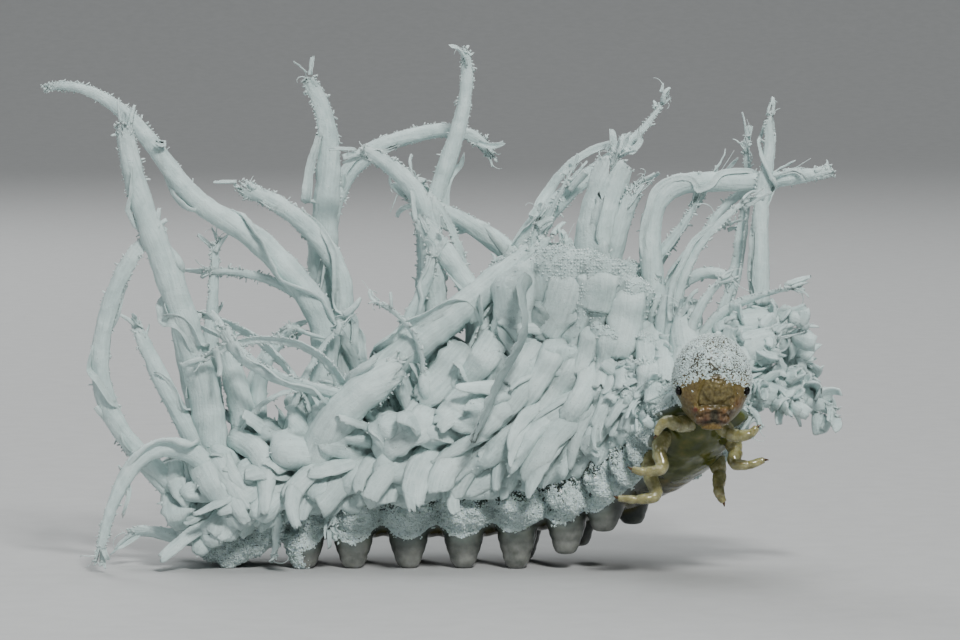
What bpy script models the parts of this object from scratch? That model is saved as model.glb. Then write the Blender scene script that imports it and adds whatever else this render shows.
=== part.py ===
"""Butternut woollyworm: a sawfly larva under its white wax, life size, as a still model.

Metres, +Z up. The larva stands on its prolegs with its tail at -X. The front third of the
body lifts and turns to -Y, the side that the face looks to. Sizes below are millimetres,
and mesh_object scales them to metres.
"""

import math
import random

import bmesh
import bpy
from mathutils import Vector

MM = 0.001
GAP = 0.3
LIMB_GAP = 0.34
EYE_GAP = 0.08

# The planes that part the trunk keep this share of the body's own rise. Pieces near such a
# plane, or near the floor, are pressed back softly over the squash reach.
BOUNDARY_LEAN = 0.5
SQUASH_REACH = 0.35
TRUNK_SPARE = 0.7
BOX_HALF = 10.0

# Puts the middle of the model's box over the origin.
ORIGIN_SHIFT = Vector((-0.117, 1.398, 0.0))

# Middle line of the body, from the tail tip to the neck.
SPINE = [
    (-7.6, 0.0, 0.75),
    (-6.3, 0.0, 1.35),
    (-4.5, 0.2, 1.95),
    (-1.8, 0.35, 2.25),
    (0.9, 0.35, 2.35),
    (3.2, 0.2, 2.6),
    (5.2, -0.15, 3.1),
    (6.8, -0.9, 3.75),
    (7.9, -2.0, 4.5),
    (8.5, -3.2, 5.35),
    (8.8, -4.3, 6.1),
]

# Lengths of the three thoracic and ten abdominal segments, from the neck back. A place
# along the body is a number q: 0 at the neck, 3 behind the thorax and 13 at the tail tip.
SEGMENT_LENGTHS = (1.1, 1.15, 1.2, 1.3, 1.6, 1.75, 1.85, 1.85, 1.9, 1.85, 1.5, 1.0, 1.65)
THORAX_END = 3.0
ABDOMEN_END = 11.0
TAIL_END = 13.0

# q, half width, height over the middle line with the wax core, depth under it.
GIRTH = [
    (0.0, 1.05, 1.15, 1.05),
    (1.0, 1.5, 2.1, 1.35),
    (2.0, 1.75, 3.2, 1.5),
    (3.5, 1.9, 4.1, 1.6),
    (5.0, 1.9, 3.7, 1.6),
    (7.5, 1.75, 2.5, 1.55),
    (9.5, 1.6, 1.9, 1.4),
    (10.5, 1.45, 1.6, 1.3),
    (11.5, 1.25, 1.3, 1.0),
    (12.4, 0.95, 0.9, 0.65),
    (13.0, 0.4, 0.4, 0.3),
]
LOBE_SWELL = 0.14
LOBE_ANGLE = 115.0
LOBE_SPREAD = 26.0
TRUNK_SIDES = 16
RINGS_PER_SEGMENT = 3

# Wax filaments: name, q of the root, angle round the body from its ridge (plus is the
# larva's left), length, width, share of the width left at the tip, headings along it
# (0 is +X and 90 is up), and leans along it (plus is away from the face, +Y).
FILAMENTS = [
    ("fan_tall", 12.3, -15, 14.0, 1.15, 0.5, (118, 98, 104, 109, 108, 98), (-8, -8, 0)),
    ("fan_bow", 12.5, -45, 12.4, 0.66, 0.8, (150, 134, 132, 108, 80, 66, 40), (-14, -6, 4)),
    ("fan_inner", 12.1, 20, 9.4, 0.62, 0.6, (115, 103, 94, 87, 88), (12, 6, 0)),
    ("fan_cut", 12.1, -38, 7.6, 0.62, 0.9, (126, 120, 116, 114), (-12, -4, 0)),
    ("fan_broad", 11.7, -12, 5.6, 1.0, 0.7, (98, 98, 102, 100), (-4, 0, 4)),
    ("fan_slim", 11.3, 0, 6.0, 0.58, 0.7, (96, 94, 90, 66, 30), (0, 0, 0)),
    ("fan_hook", 12.4, -30, 4.8, 0.78, 0.6, (110, 70, 0, -60, -92, -105), (-40, -20, 8)),
    ("fan_droop", 12.2, -40, 9.0, 0.85, 0.2, (120, 150, 180, 215, 242, 248, 252, 256), (-34, -14, 0)),
    ("fan_fray", 12.7, -30, 3.2, 0.8, 0.5, (190, 176, 166, 200), (-12, 0)),
    ("long_arch", 9.9, 4, 17.6, 0.98, 0.25, (98, 92, 88, 125, 135, 150, 128, 130, 152, 195), (2, 2, 2)),
    ("second_arch", 9.6, 18, 11.2, 0.76, 0.7, (90, 90, 90, 92, 128, 145, 162), (12, 6, 0)),
    ("great_roll", 10.5, -34, 12.2, 1.36, 0.6, (85, 56, 40, 38, 37, 37, 36), (-16, 0, 4, 8)),
    ("near_roll", 10.45, -64, 6.2, 1.3, 0.8, (80, 64, 46, 30), (-40, -6, 10)),
    ("loop_ribbon", 8.9, -30, 8.2, 0.66, 0.7, (96, 104, 150, 166, 158, 138, 104), (-40, -20, 0, 0)),
    ("far_roll", 10.2, 38, 10.6, 1.2, 0.6, (70, 50, 42, 40, 42), (24, 2, -4)),
    ("far_spire", 9.6, 34, 13.6, 1.3, 0.4, (84, 92, 104, 96, 84, 94, 130), (22, 6, 0)),
    ("far_bridge", 9.1, 42, 16.2, 0.8, 0.5, (108, 107, 104, 96, 88, 60, 20, 2, -70), (24, 10, 2)),
    ("far_post", 8.0, 28, 13.8, 0.9, 0.35, (94, 90, 92, 90, 72, 78, 98), (18, 4, 0)),
    ("bent_stalk", 8.1, -8, 11.0, 0.84, 0.6, (80, 86, 92, 95, 100, 134, 156), (-2, 0, -4)),
    ("broken_stub", 6.9, -12, 7.8, 0.66, 1.0, (88, 96, 122, 130), (-6, 0)),
    ("curl_thin", 9.0, -20, 7.4, 0.5, 0.7, (84, 80, 64, 84), (-6, 0)),
    ("far_slant", 5.9, 24, 9.6, 0.8, 0.6, (92, 96, 146, 158), (14, 4)),
    ("leaf_spire", 6.9, 20, 13.6, 1.2, 0.06, (90, 86, 76, 58, 40, 40, 66), (14, 8, 0)),
    ("crown_stub", 4.4, -14, 7.4, 1.4, 0.9, (92, 90, 86, 78, 66), (-4, 0)),
    ("crown_side", 3.9, -22, 6.0, 0.74, 0.8, (90, 88, 76, 64), (-4, 0)),
    ("right_arch", 2.1, 10, 11.4, 0.76, 0.6, (96, 98, 94, 76, 8, 0, 8, 12), (8, 4, 0)),
    ("right_post", 1.8, 52, 10.0, 0.8, 0.5, (20, 50, 88, 88, 80, 100), (20, 4, 0)),
    ("near_leaf", 1.8, -6, 6.4, 0.52, 0.3, (90, 78, 52, 34), (-6, 0)),
    ("near_loop", 2.0, -16, 4.6, 0.5, 0.7, (90, 78, 30, -40), (-8, 0)),
    ("twin_long", 6.1, -16, 6.0, 0.52, 0.5, (92, 84, 66, 56), (-6, 0)),
    ("twin_short", 6.6, -8, 5.6, 0.52, 0.6, (98, 94, 84), (-2, 0)),
    ("leaflet", 5.1, -16, 5.0, 0.86, 0.3, (96, 92, 84), (-4, 0)),
    ("plate_rear", 6.2, -24, 5.5, 1.5, 0.9, (89, 91, 93), (-20, -7)),
    ("plate_middle", 5.2, -24, 5.1, 1.7, 0.9, (97, 92, 86), (-22, -5)),
    ("plate_front", 4.3, -26, 4.2, 1.5, 0.9, (104, 88, 69), (-26, -11)),
    ("torn_strip", 5.9, -24, 11.8, 0.7, 0.5, (124, 83, 74, 141, 282, 245, 251, 249), (-25, -8, -29, 4, -13)),
    ("blob_top", 1.7, 40, 4.2, 1.6, 0.7, (64, 20, -14), (6, 0)),
    ("blob_front", 0.9, 44, 2.8, 1.4, 0.7, (50, 10), (4, 4)),
    ("blob_tip", 1.5, 62, 4.8, 1.1, 0.35, (30, 0, -26, -34), (6, 0)),
    ("blob_back", 2.3, 50, 5.2, 0.9, 0.6, (50, 24, -20, -70), (16, 4)),
    ("blob_low", 0.7, 74, 2.8, 1.1, 0.6, (20, -10, -30), (8, 4)),
    ("nape_leaf", 0.8, -6, 2.4, 1.2, 0.4, (104, 98, 92), (30, 10)),
]
FILAMENT_SIDES = 6
FILAMENT_RING_STEP = 1.3
FILAMENT_FLATNESS = 0.72
ROOT_SINK = 0.7
FLOOR_CLEARANCE = 0.2

# Wax tongues that clothe the flanks: angle from the ridge, length at the front of the
# abdomen and at the tail, width, and how the tongue sets off and ends, each as shares
# of outward, backward and downward.
TONGUE_ROWS = [
    (15, 3.3, 1.6, 1.5, (1.0, 0.35, -0.2), (0.9, 0.6, -0.5)),
    (40, 3.3, 1.8, 1.6, (1.0, 0.35, 0.0), (0.5, 0.6, 0.1)),
    (64, 2.9, 1.8, 1.6, (1.0, 0.4, 0.3), (0.15, 0.5, 0.9)),
    (84, 2.2, 1.4, 1.3, (0.9, 0.4, 0.6), (0.05, 0.4, 1.0)),
]
TONGUE_SIDES = 5
TONGUE_RINGS = ((0.0, 0.8), (0.45, 1.0), (0.85, 0.85))
TONGUE_THICKNESS = 0.6
TONGUE_SINK = 0.5
TONGUE_COLUMNS = (0.5, 1.1, 1.7, 2.3, 3.45, 4.3, 5.2, 6.2, 7.2, 8.3, 9.4, 10.4, 11.4, 12.0, 12.6)
TONGUE_STAGGER = 0.25
TONGUE_END_MARGIN = 0.2
REAR_FADE = (4.0, 12.0)
REAR_NARROWING = 0.35
NECK_END = 2.0
NECK_TONGUE_SCALE = 0.55
FAR_BARE_END = 2.2
FAR_BARE_ANGLE = 50.0
SEED = 11

# Prolegs: segment number in the abdomen, reach of the foot over the floor.
PROLEGS = ((2, 1.3), (3, 0.5), (4, 0.0), (5, 0.0), (6, 0.0), (7, 0.0), (8, 0.0), (10, 0.0))
PROLEG_SPREAD = 0.95
PROLEG_SPLAY = 0.25
PROLEG_RADIUS = 0.6
PROLEG_RINGS = ((0.0, 1.0), (0.6, 0.95), (0.88, 0.72), (1.0, 0.42))
PROLEG_SINK = 0.35
PROLEG_SIDES = 8
LAST_PROLEG_SCALE = 0.7

# Thoracic legs: number, side (1 is the larva's left), q and angle of the root, then heading,
# lean and length of coxa, thigh, shin and claw.
LEG_SINK = 0.35
LEGS = [
    (1, -1, 0.5, 150, ((184, -54, 0.35), (150, -24, 0.35), (215, -10, 0.35), (250, 0, 0.3))),
    (2, -1, 1.4, 128, ((250, -39, 0.3), (285, -27, 0.6), (190, -8, 0.6), (169, 0, 0.45))),
    (3, -1, 2.4, 128, ((262, -42, 0.35), (290, -19, 0.8), (190, -7, 0.7), (175, 0, 0.6))),
    (1, 1, 0.5, 150, ((310, -45, 0.3), (350, -40, 0.4), (12, -16, 0.4), (49, 0, 0.3))),
    (2, 1, 1.4, 128, ((290, -35, 0.35), (255, -40, 0.5), (354, -11, 0.5), (19, 0, 0.55))),
    (3, 1, 2.4, 135, ((285, -30, 0.35), (262, -40, 0.6), (285, -10, 0.3), (300, 0, 0.2))),
]
LEG_RADII = (0.4, 0.34, 0.28, 0.2, 0.08)
LEG_SIDES = 8

HEAD_CENTRE = Vector((8.96, -5.7, 6.6))
HEAD_HALF = Vector((1.28, 1.3, 1.55))
HEAD_COLUMNS = 20
HEAD_ROWS = 12
EYE_RADIUS = 0.17
EYE_PLACE = (1.09, -0.23)
MOUTH_DROP = 0.98


def clear_scene():
    for obj in list(bpy.data.objects):
        bpy.data.objects.remove(obj)


def catmull(a, b, c, d, t):
    """Point at t between b and c on a smooth curve through four points."""
    return 0.5 * (
        2 * b + (c - a) * t + (2 * a - 5 * b + 4 * c - d) * t * t + (3 * b - a - 3 * c + d) * t**3
    )


def smooth_line(points, steps):
    """Finely sampled smooth curve through the points."""
    knots = [Vector(p) for p in points]
    knots = [2 * knots[0] - knots[1]] + knots + [2 * knots[-1] - knots[-2]]
    line = []
    for i in range(1, len(knots) - 2):
        line += [catmull(*knots[i - 1 : i + 3], k / steps) for k in range(steps)]
    return line + [knots[-2]]


class Body:
    """The swept trunk: places, directions and girth for any q and angle."""

    def __init__(self):
        self.line = smooth_line(reversed(SPINE), 24)
        self.at = [0.0]
        for a, b in zip(self.line, self.line[1:]):
            self.at.append(self.at[-1] + (b - a).length)
        scale = self.at[-1] / sum(SEGMENT_LENGTHS)
        self.ends = [0.0]
        for length in SEGMENT_LENGTHS:
            self.ends.append(self.ends[-1] + length * scale)

    def centre(self, q):
        q = min(max(q, 0.0), TAIL_END)
        segment = min(int(q), len(SEGMENT_LENGTHS) - 1)
        along = self.ends[segment] + (q - segment) * (self.ends[segment + 1] - self.ends[segment])
        for i in range(1, len(self.at)):
            if self.at[i] >= along:
                break
        share = (along - self.at[i - 1]) / (self.at[i] - self.at[i - 1])
        return self.line[i - 1].lerp(self.line[i], share)

    def axes(self, q):
        """Forward, up and left at q."""
        step = 0.25
        ahead = (self.centre(q - step) - self.centre(q + step)).normalized()
        up = (Vector((0, 0, 1)) - ahead * ahead.z).normalized()
        return ahead, up, up.cross(ahead)

    def girth(self, q):
        for a, b in zip(GIRTH, GIRTH[1:]):
            if q <= b[0]:
                break
        t = min(max((q - a[0]) / (b[0] - a[0]), 0.0), 1.0)
        return [x + (y - x) * t for x, y in zip(a[1:], b[1:])]

    def surface(self, q, angle, grow=0.0):
        """Point of the core's surface, with each segment's side lobes swollen."""
        ahead, up, left = self.axes(q)
        wide, high, deep = self.girth(q)
        a = math.radians(angle)
        fold = abs(math.sin(math.pi * q))
        lobe = math.exp(-(((abs(angle) - LOBE_ANGLE) / LOBE_SPREAD) ** 2))
        swell = 1.0 + LOBE_SWELL * lobe * (1.6 * fold - 0.6)
        vertical = high if math.cos(a) > 0 else deep
        side = left * (math.sin(a) * (wide * swell + grow))
        return self.centre(q) + side + up * (math.cos(a) * (vertical * swell + grow))

    def outward(self, q, angle):
        e = 2.0
        ahead = self.axes(q)[0]
        across = self.surface(q, angle + e) - self.surface(q, angle - e)
        return across.cross(ahead).normalized() * -1.0


BODY = Body()


def mesh_object(name, points, faces):
    mesh = bpy.data.meshes.new(name)
    mesh.from_pydata([(p + ORIGIN_SHIFT) * MM for p in points], [], faces)
    bm = bmesh.new()
    bm.from_mesh(mesh)
    bmesh.ops.recalc_face_normals(bm, faces=bm.faces)
    if bm.calc_volume(signed=True) < 0:
        bmesh.ops.reverse_faces(bm, faces=bm.faces)
    bm.to_mesh(mesh)
    bm.free()
    obj = bpy.data.objects.new(name, mesh)
    bpy.context.scene.collection.objects.link(obj)
    return obj


def loft(name, rings, tip=None):
    """Closed mesh through rings of equal counts, flat at its start, and pointed or flat at its end."""
    n = len(rings[0])
    points = [p for ring in rings for p in ring]
    faces = [tuple(range(n))]
    for k in range(len(rings) - 1):
        for i in range(n):
            j = (i + 1) % n
            faces.append((k * n + i, (k + 1) * n + i, (k + 1) * n + j, k * n + j))
    last = (len(rings) - 1) * n
    if tip is None:
        faces.append(tuple(last + i for i in range(n)))
    else:
        points.append(tip)
        faces += [(last + i, len(points) - 1, last + (i + 1) % n) for i in range(n)]
    return mesh_object(name, points, faces)


def between(values, t):
    """Smooth value at t from 0 to 1 through equally spaced values."""
    values = [float(v) for v in values]
    values = [2 * values[0] - values[1]] + values + [2 * values[-1] - values[-2]]
    place = min(max(t, 0.0), 1.0) * (len(values) - 3)
    i = min(int(place), len(values) - 4)
    return catmull(*values[i : i + 4], place - i)


def heading(turn, lean):
    turn, lean = math.radians(turn), math.radians(lean)
    return Vector(
        (math.cos(turn) * math.cos(lean), math.sin(lean), math.sin(turn) * math.cos(lean))
    )


def filament_path(q, angle, length, turns, leans, steps):
    """Points of a filament from under the surface out to its tip."""
    out = BODY.outward(q, angle)
    here = BODY.surface(q, angle) - out * ROOT_SINK
    path = [here]
    fine = 6
    for k in range(steps * fine):
        t = (k + 0.5) / (steps * fine)
        here = here + heading(between(turns, t), between(leans, t)) * (length / steps / fine)
        here.z = max(here.z, FLOOR_CLEARANCE)
        if (k + 1) % fine == 0:
            path.append(here)
    return path


def directions(path):
    out = [(path[1] - path[0]).normalized()]
    for a, b, c in zip(path, path[1:], path[2:]):
        out.append((c - a).normalized())
    return out + [(path[-1] - path[-2]).normalized()]


def ribbon_rings(path, widths, thicknesses, flat_normal, sides):
    """Flattened rings along a path, whose flat faces start out across flat_normal."""
    ways = directions(path)
    normal = (flat_normal - ways[0] * flat_normal.dot(ways[0])).normalized()
    rings = []
    for i, (point, way) in enumerate(zip(path, ways)):
        if i:
            normal.rotate(ways[i - 1].rotation_difference(way))
            normal = (normal - way * normal.dot(way)).normalized()
        side = way.cross(normal)
        ring = []
        for k in range(sides):
            a = 2 * math.pi * (k + 0.5) / sides
            ring.append(
                point
                + side * (math.cos(a) * widths[i] / 2)
                + normal * (math.sin(a) * thicknesses[i] / 2)
            )
        rings.append(ring)
    return rings


def filament(row):
    name, q, angle, length, width, tip_share, turns, leans = row
    steps = max(3, round(length / FILAMENT_RING_STEP))
    path = filament_path(q, angle, length, turns, leans, steps)
    widths = []
    for i in range(len(path)):
        t = i / (len(path) - 1)
        widths.append(width * (1.0 - (1.0 - tip_share) * t**1.6))
    thick = [w * FILAMENT_FLATNESS for w in widths]
    rings = ribbon_rings(path, widths, thick, Vector((0, 1, 0)), FILAMENT_SIDES)
    way = (path[-1] - path[-2]).normalized()
    return loft(name, rings, path[-1] + way * widths[-1] * 0.3)


def boundary(q):
    """Centre and normal of the plane that parts two nodes at q, steeper than the body's own."""
    ahead = BODY.axes(q)[0]
    return BODY.centre(q), Vector((ahead.x, ahead.y, ahead.z * BOUNDARY_LEAN)).normalized()


def squash_clear(point, q_low, q_high):
    """The point pressed back softly where it comes near the floor or its node's ends."""
    reach = SQUASH_REACH
    for q, sense in ((q_low, 1.0), (q_high, -1.0)):
        if q in (0.0, TAIL_END):
            continue
        centre, ahead = boundary(q)
        past = (point - centre).dot(ahead) * sense + GAP / 2
        if past > -reach:
            wanted = -reach * math.exp(-(past + reach) / reach)
            point = point + ahead * (sense * (wanted - past))
    if point.z < 2 * FLOOR_CLEARANCE:
        lift = math.exp(point.z / FLOOR_CLEARANCE - 2)
        point = Vector((point.x, point.y, FLOOR_CLEARANCE * (0.5 + lift)))
    return point


def tongue(rng, q, row, side, node):
    """One flat, drooping wax tongue on the flank."""
    angle, front_length, rear_length, width, start, end = row
    fade_start, fade_end = REAR_FADE
    fade = min(max((q - fade_start) / (fade_end - fade_start), 0.0), 1.0)
    length = (front_length + (rear_length - front_length) * fade) * rng.uniform(0.82, 1.15)
    if q < NECK_END:
        length *= NECK_TONGUE_SCALE
    angle = side * (angle + rng.uniform(-5, 5))
    width *= rng.uniform(0.85, 1.12) * (1.0 - REAR_NARROWING * fade)
    ahead, up, _ = BODY.axes(q)
    out = BODY.outward(q, angle)
    path = [BODY.surface(q, angle) - out * TONGUE_SINK]
    sway = rng.uniform(-0.2, 0.2)
    total = length + TONGUE_SINK
    for k in range(1, len(TONGUE_RINGS)):
        t = TONGUE_RINGS[k][0]
        step = (TONGUE_RINGS[k][0] - TONGUE_RINGS[k - 1][0]) * total
        mix = [a + (b - a) * t for a, b in zip(start, end)]
        way = out * mix[0] - ahead * (mix[1] + sway) - up * mix[2]
        path.append(path[-1] + way.normalized() * step)
    widths = [width * share for _, share in TONGUE_RINGS]
    thick = [TONGUE_THICKNESS * (0.7 + 0.3 * share) for _, share in TONGUE_RINGS]
    rings = ribbon_rings(path, widths, thick, out - ahead * 0.01, TONGUE_SIDES)
    tip = path[-1] + (path[-1] - path[-2]).normalized() * (1.0 - TONGUE_RINGS[-1][0]) * total
    rings = [[squash_clear(p, *node) for p in ring] for ring in rings]
    return loft("tongue", rings, squash_clear(tip, *node))


def trunk_rings(q_low, q_high, grow=0.0):
    count = max(2, round((q_high - q_low) * RINGS_PER_SEGMENT))
    rings = []
    for k in range(count + 1):
        q = q_low + (q_high - q_low) * k / count
        angles = [360.0 * i / TRUNK_SIDES - 180.0 for i in range(TRUNK_SIDES)]
        rings.append([BODY.surface(q, a, grow) for a in angles])
    return rings


def trunk(name, q_low, q_high):
    """One length of the trunk, cut back by half the gap at each end that meets another."""
    low = q_low - TRUNK_SPARE if q_low > 0 else 0.0
    high = q_high + TRUNK_SPARE if q_high < TAIL_END else TAIL_END
    obj = loft(name, trunk_rings(low, high))
    for q, sense in ((q_low, 1.0), (q_high, -1.0)):
        if 0.0 < q < TAIL_END:
            boolean(obj, [end_box(q, sense)], "DIFFERENCE")
    return obj


def end_box(q, sense):
    """A box that fills the space past the parting plane at q, on its front side for sense 1."""
    centre, ahead = boundary(q)
    ahead = ahead * sense
    across = Vector((-ahead.y, ahead.x, 0.0)).normalized()
    rise = ahead.cross(across)
    near = centre - ahead * (GAP / 2)
    rings = []
    for depth in (0.0, BOX_HALF):
        corners = []
        for a, b in ((-1, -1), (1, -1), (1, 1), (-1, 1)):
            corner = across * (a * BOX_HALF) + rise * (b * BOX_HALF)
            corners.append(near + ahead * depth + corner)
        rings.append(corners)
    return loft("end_box", rings)


def shell_volume(shell):
    """Volume enclosed by a closed set of faces."""
    total = 0.0
    for face in shell:
        first = face.verts[0].co
        for a, b in zip(face.verts[1:], face.verts[2:]):
            total += first.dot(a.co.cross(b.co)) / 6
    return abs(total)


def keep_largest(obj):
    """Keeps only the closed surface with the largest volume."""
    bm = bmesh.new()
    bm.from_mesh(obj.data)
    seen = set()
    shells = []
    for face in bm.faces:
        if face in seen:
            continue
        shell, stack = [], [face]
        seen.add(face)
        while stack:
            f = stack.pop()
            shell.append(f)
            for edge in f.edges:
                for other in edge.link_faces:
                    if other not in seen:
                        seen.add(other)
                        stack.append(other)
        shells.append(shell)
    shells.sort(key=shell_volume, reverse=True)
    dropped = [f for shell in shells[1:] for f in shell]
    bmesh.ops.delete(bm, geom=dropped, context="FACES")
    loose = [v for v in bm.verts if not v.link_faces]
    bmesh.ops.delete(bm, geom=loose, context="VERTS")
    bm.to_mesh(obj.data)
    bm.free()


def boolean(obj, others, operation):
    """Joins the others to obj, or cuts them from it, in one Boolean on a collection."""
    group = bpy.data.collections.new("operands")
    for other in others:
        group.objects.link(other)
    modifier = obj.modifiers.new("join", "BOOLEAN")
    modifier.operation = operation
    modifier.operand_type = "COLLECTION"
    modifier.collection = group
    modifier.solver = "MANIFOLD"
    graph = bpy.context.evaluated_depsgraph_get()
    result = bpy.data.meshes.new_from_object(obj.evaluated_get(graph))
    obj.modifiers.clear()
    obj.data = result
    for other in others:
        bpy.data.objects.remove(other)
    bpy.data.collections.remove(group)
    keep_largest(obj)
    return obj


def material(name, colour, roughness):
    made = bpy.data.materials.new(name)
    made.use_nodes = True
    shader = made.node_tree.nodes["Principled BSDF"]
    shader.inputs["Base Color"].default_value = (*colour, 1.0)
    shader.inputs["Roughness"].default_value = roughness
    shader.inputs["Metallic"].default_value = 0.0
    return made


def finish(obj, name, made_of):
    obj.name = name
    obj.data.materials.clear()
    obj.data.materials.append(made_of)
    obj.data.shade_smooth()
    obj.data.set_sharp_from_angle(angle=math.radians(50))
    return obj


def trunk_node(name, q_low, q_high, wax):
    """A length of trunk with its tongues and filaments fused on."""
    rng = random.Random(SEED + int(q_low))
    core = trunk(name, q_low, q_high)
    pieces = []
    for q in TONGUE_COLUMNS:
        if not q_low < q < q_high:
            continue
        for number, row in enumerate(TONGUE_ROWS):
            offset = TONGUE_STAGGER if number % 2 else 0.0
            place = min(q + offset, q_high - TONGUE_END_MARGIN)
            for side in (-1, 1):
                if q < FAR_BARE_END and side > 0 and row[0] > FAR_BARE_ANGLE:
                    continue
                pieces.append(tongue(rng, place, row, side, (q_low, q_high)))
    for row in FILAMENTS:
        if q_low < row[1] < q_high:
            pieces.append(filament(row))
    boolean(core, pieces, "UNION")
    boolean(core, limbs(LIMB_GAP), "DIFFERENCE")
    return finish(core, name, wax)


def proleg(name, segment, reach, side, grow=0.0):
    """A fleshy stub that stands on the floor, or hangs over it, with its root in a socket."""
    q = 3 + segment - 0.5
    scale = LAST_PROLEG_SCALE if segment == 10 else 1.0
    left = BODY.axes(q)[2]
    centre = BODY.centre(q)
    root = centre + left * (side * PROLEG_SPREAD * scale)
    root.z = BODY.surface(q, side * 150).z + PROLEG_SINK * scale + grow
    foot = centre + left * (side * (PROLEG_SPREAD + PROLEG_SPLAY) * scale)
    foot.z = reach - grow
    rings = []
    for share, width in PROLEG_RINGS:
        r = PROLEG_RADIUS * width * scale + grow
        middle = root.lerp(foot, share)
        ring = []
        for k in range(PROLEG_SIDES):
            a = 2 * math.pi * k / PROLEG_SIDES
            ring.append(middle + Vector((math.cos(a) * r, math.sin(a) * r, 0.0)))
        rings.append(ring)
    return loft(name, rings)


def leg(name, q, angle, bends, grow=0.0):
    """A jointed thoracic leg, folded up under the thorax, with its root in a socket."""
    path = [BODY.surface(q, angle) - BODY.outward(q, angle) * (LEG_SINK + grow)]
    for i, (turn, lean, length) in enumerate(bends):
        extra = LEG_SINK + grow if i == 0 else grow if i == len(bends) - 1 else 0.0
        path.append(path[-1] + heading(turn, lean) * (length + extra))
    ways = directions(path)
    rings = []
    for point, way, radius in zip(path, ways, LEG_RADII):
        side_way = way.cross(Vector((0, 1, 0))).normalized()
        other = way.cross(side_way)
        ring = []
        for k in range(LEG_SIDES):
            a = 2 * math.pi * k / LEG_SIDES
            ring.append(point + (side_way * math.cos(a) + other * math.sin(a)) * (radius + grow))
        rings.append(ring)
    return loft(name, rings)


def limbs(grow=0.0):
    """All prolegs and legs, at their size or grown for a clearance cut."""
    made = []
    for side, word in ((-1, "right"), (1, "left")):
        for segment, reach in PROLEGS:
            made.append(proleg(f"proleg_{word}_a{segment}", segment, reach, side, grow))
        for number, leg_side, q, angle, bends in LEGS:
            if leg_side == side:
                made.append(leg(f"leg_{word}_{number}", q, side * angle, bends, grow))
    return made


def head_ball(name, grow=0.0):
    """The head capsule: an egg, flatter in the face."""
    rings = []
    for r in range(1, HEAD_ROWS):
        polar = math.pi * r / HEAD_ROWS
        ring = []
        for c in range(HEAD_COLUMNS):
            a = 2 * math.pi * c / HEAD_COLUMNS
            unit = Vector(
                (math.sin(polar) * math.cos(a), math.sin(polar) * math.sin(a), math.cos(polar))
            )
            p = Vector([u * (h + grow) for u, h in zip(unit, HEAD_HALF)])
            if unit.z < 0:
                p.x *= 1.0 - 0.28 * unit.z**2
            if unit.y < 0:
                p.y *= 1.0 - 0.12 * unit.y**2
            ring.append(HEAD_CENTRE + p)
        rings.append(ring)
    top = HEAD_CENTRE + Vector((0, 0, HEAD_HALF.z + grow))
    bottom = HEAD_CENTRE - Vector((0, 0, HEAD_HALF.z + grow))
    obj = loft(name, rings, bottom)
    bm = bmesh.new()
    bm.from_mesh(obj.data)
    cap = max(bm.faces, key=lambda f: len(f.verts))
    bmesh.ops.poke(bm, faces=[cap])
    bm.verts.ensure_lookup_table()
    bm.verts[-1].co = (top + ORIGIN_SHIFT) * MM
    bm.to_mesh(obj.data)
    bm.free()
    return obj


def ball(name, centre, half, columns=8, rows=5):
    rings = []
    for r in range(1, rows):
        polar = math.pi * r / rows
        ring = []
        for c in range(columns):
            a = 2 * math.pi * c / columns
            x = math.sin(polar) * math.cos(a) * half[0]
            y = math.sin(polar) * math.sin(a) * half[1]
            ring.append(centre + Vector((x, y, math.cos(polar) * half[2])))
        rings.append(ring)
    return loft(name, rings, centre - Vector((0, 0, half[2])))


def eye_centre(side):
    x, z = EYE_PLACE
    reach = math.sqrt(max(0.0, 1 - (x / HEAD_HALF.x) ** 2 - (z / HEAD_HALF.z) ** 2))
    return HEAD_CENTRE + Vector((side * x, -HEAD_HALF.y * 0.92 * reach, z))


def eye(name, grow=0.0, columns=10, rows=7):
    side = -1 if name == "eye_right" else 1
    radius = EYE_RADIUS + grow
    return ball(name, eye_centre(side), (radius, radius, radius), columns, rows)


def head(chitin):
    """Head capsule with face shield, lips, jaws, palps and feelers fused on."""
    obj = head_ball("head")
    mouth = HEAD_CENTRE + Vector((0.0, -HEAD_HALF.y * 0.8, -MOUTH_DROP))
    pieces = [
        ball("face_shield", HEAD_CENTRE + Vector((0, -0.55, -0.1)), (0.75, 0.72, 0.75), 12, 6),
        ball("upper_lip", mouth + Vector((0, 0.12, 0.22)), (0.36, 0.3, 0.2)),
        ball("lower_lip", mouth + Vector((0, 0.25, -0.24)), (0.34, 0.3, 0.16)),
    ]
    for side in (-1, 1):
        pieces.append(ball("jaw", mouth + Vector((side * 0.17, 0.1, -0.02)), (0.2, 0.3, 0.2)))
        pieces.append(ball("palp", mouth + Vector((side * 0.46, 0.2, 0.05)), (0.17, 0.28, 0.2)))
        feeler = HEAD_CENTRE + Vector((side * 0.6, -0.95, -0.72))
        pieces.append(ball("feeler", feeler, (0.11, 0.3, 0.11), 6, 4))
    boolean(obj, pieces, "UNION")
    cutters = [loft("clearance", trunk_rings(0.0, TAIL_END, GAP))]
    for name in ("eye_right", "eye_left"):
        cutters.append(eye(name, EYE_GAP, rows=6))
    for cutter in cutters:
        boolean(obj, [cutter], "DIFFERENCE")
    return finish(obj, "head", chitin)


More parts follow.
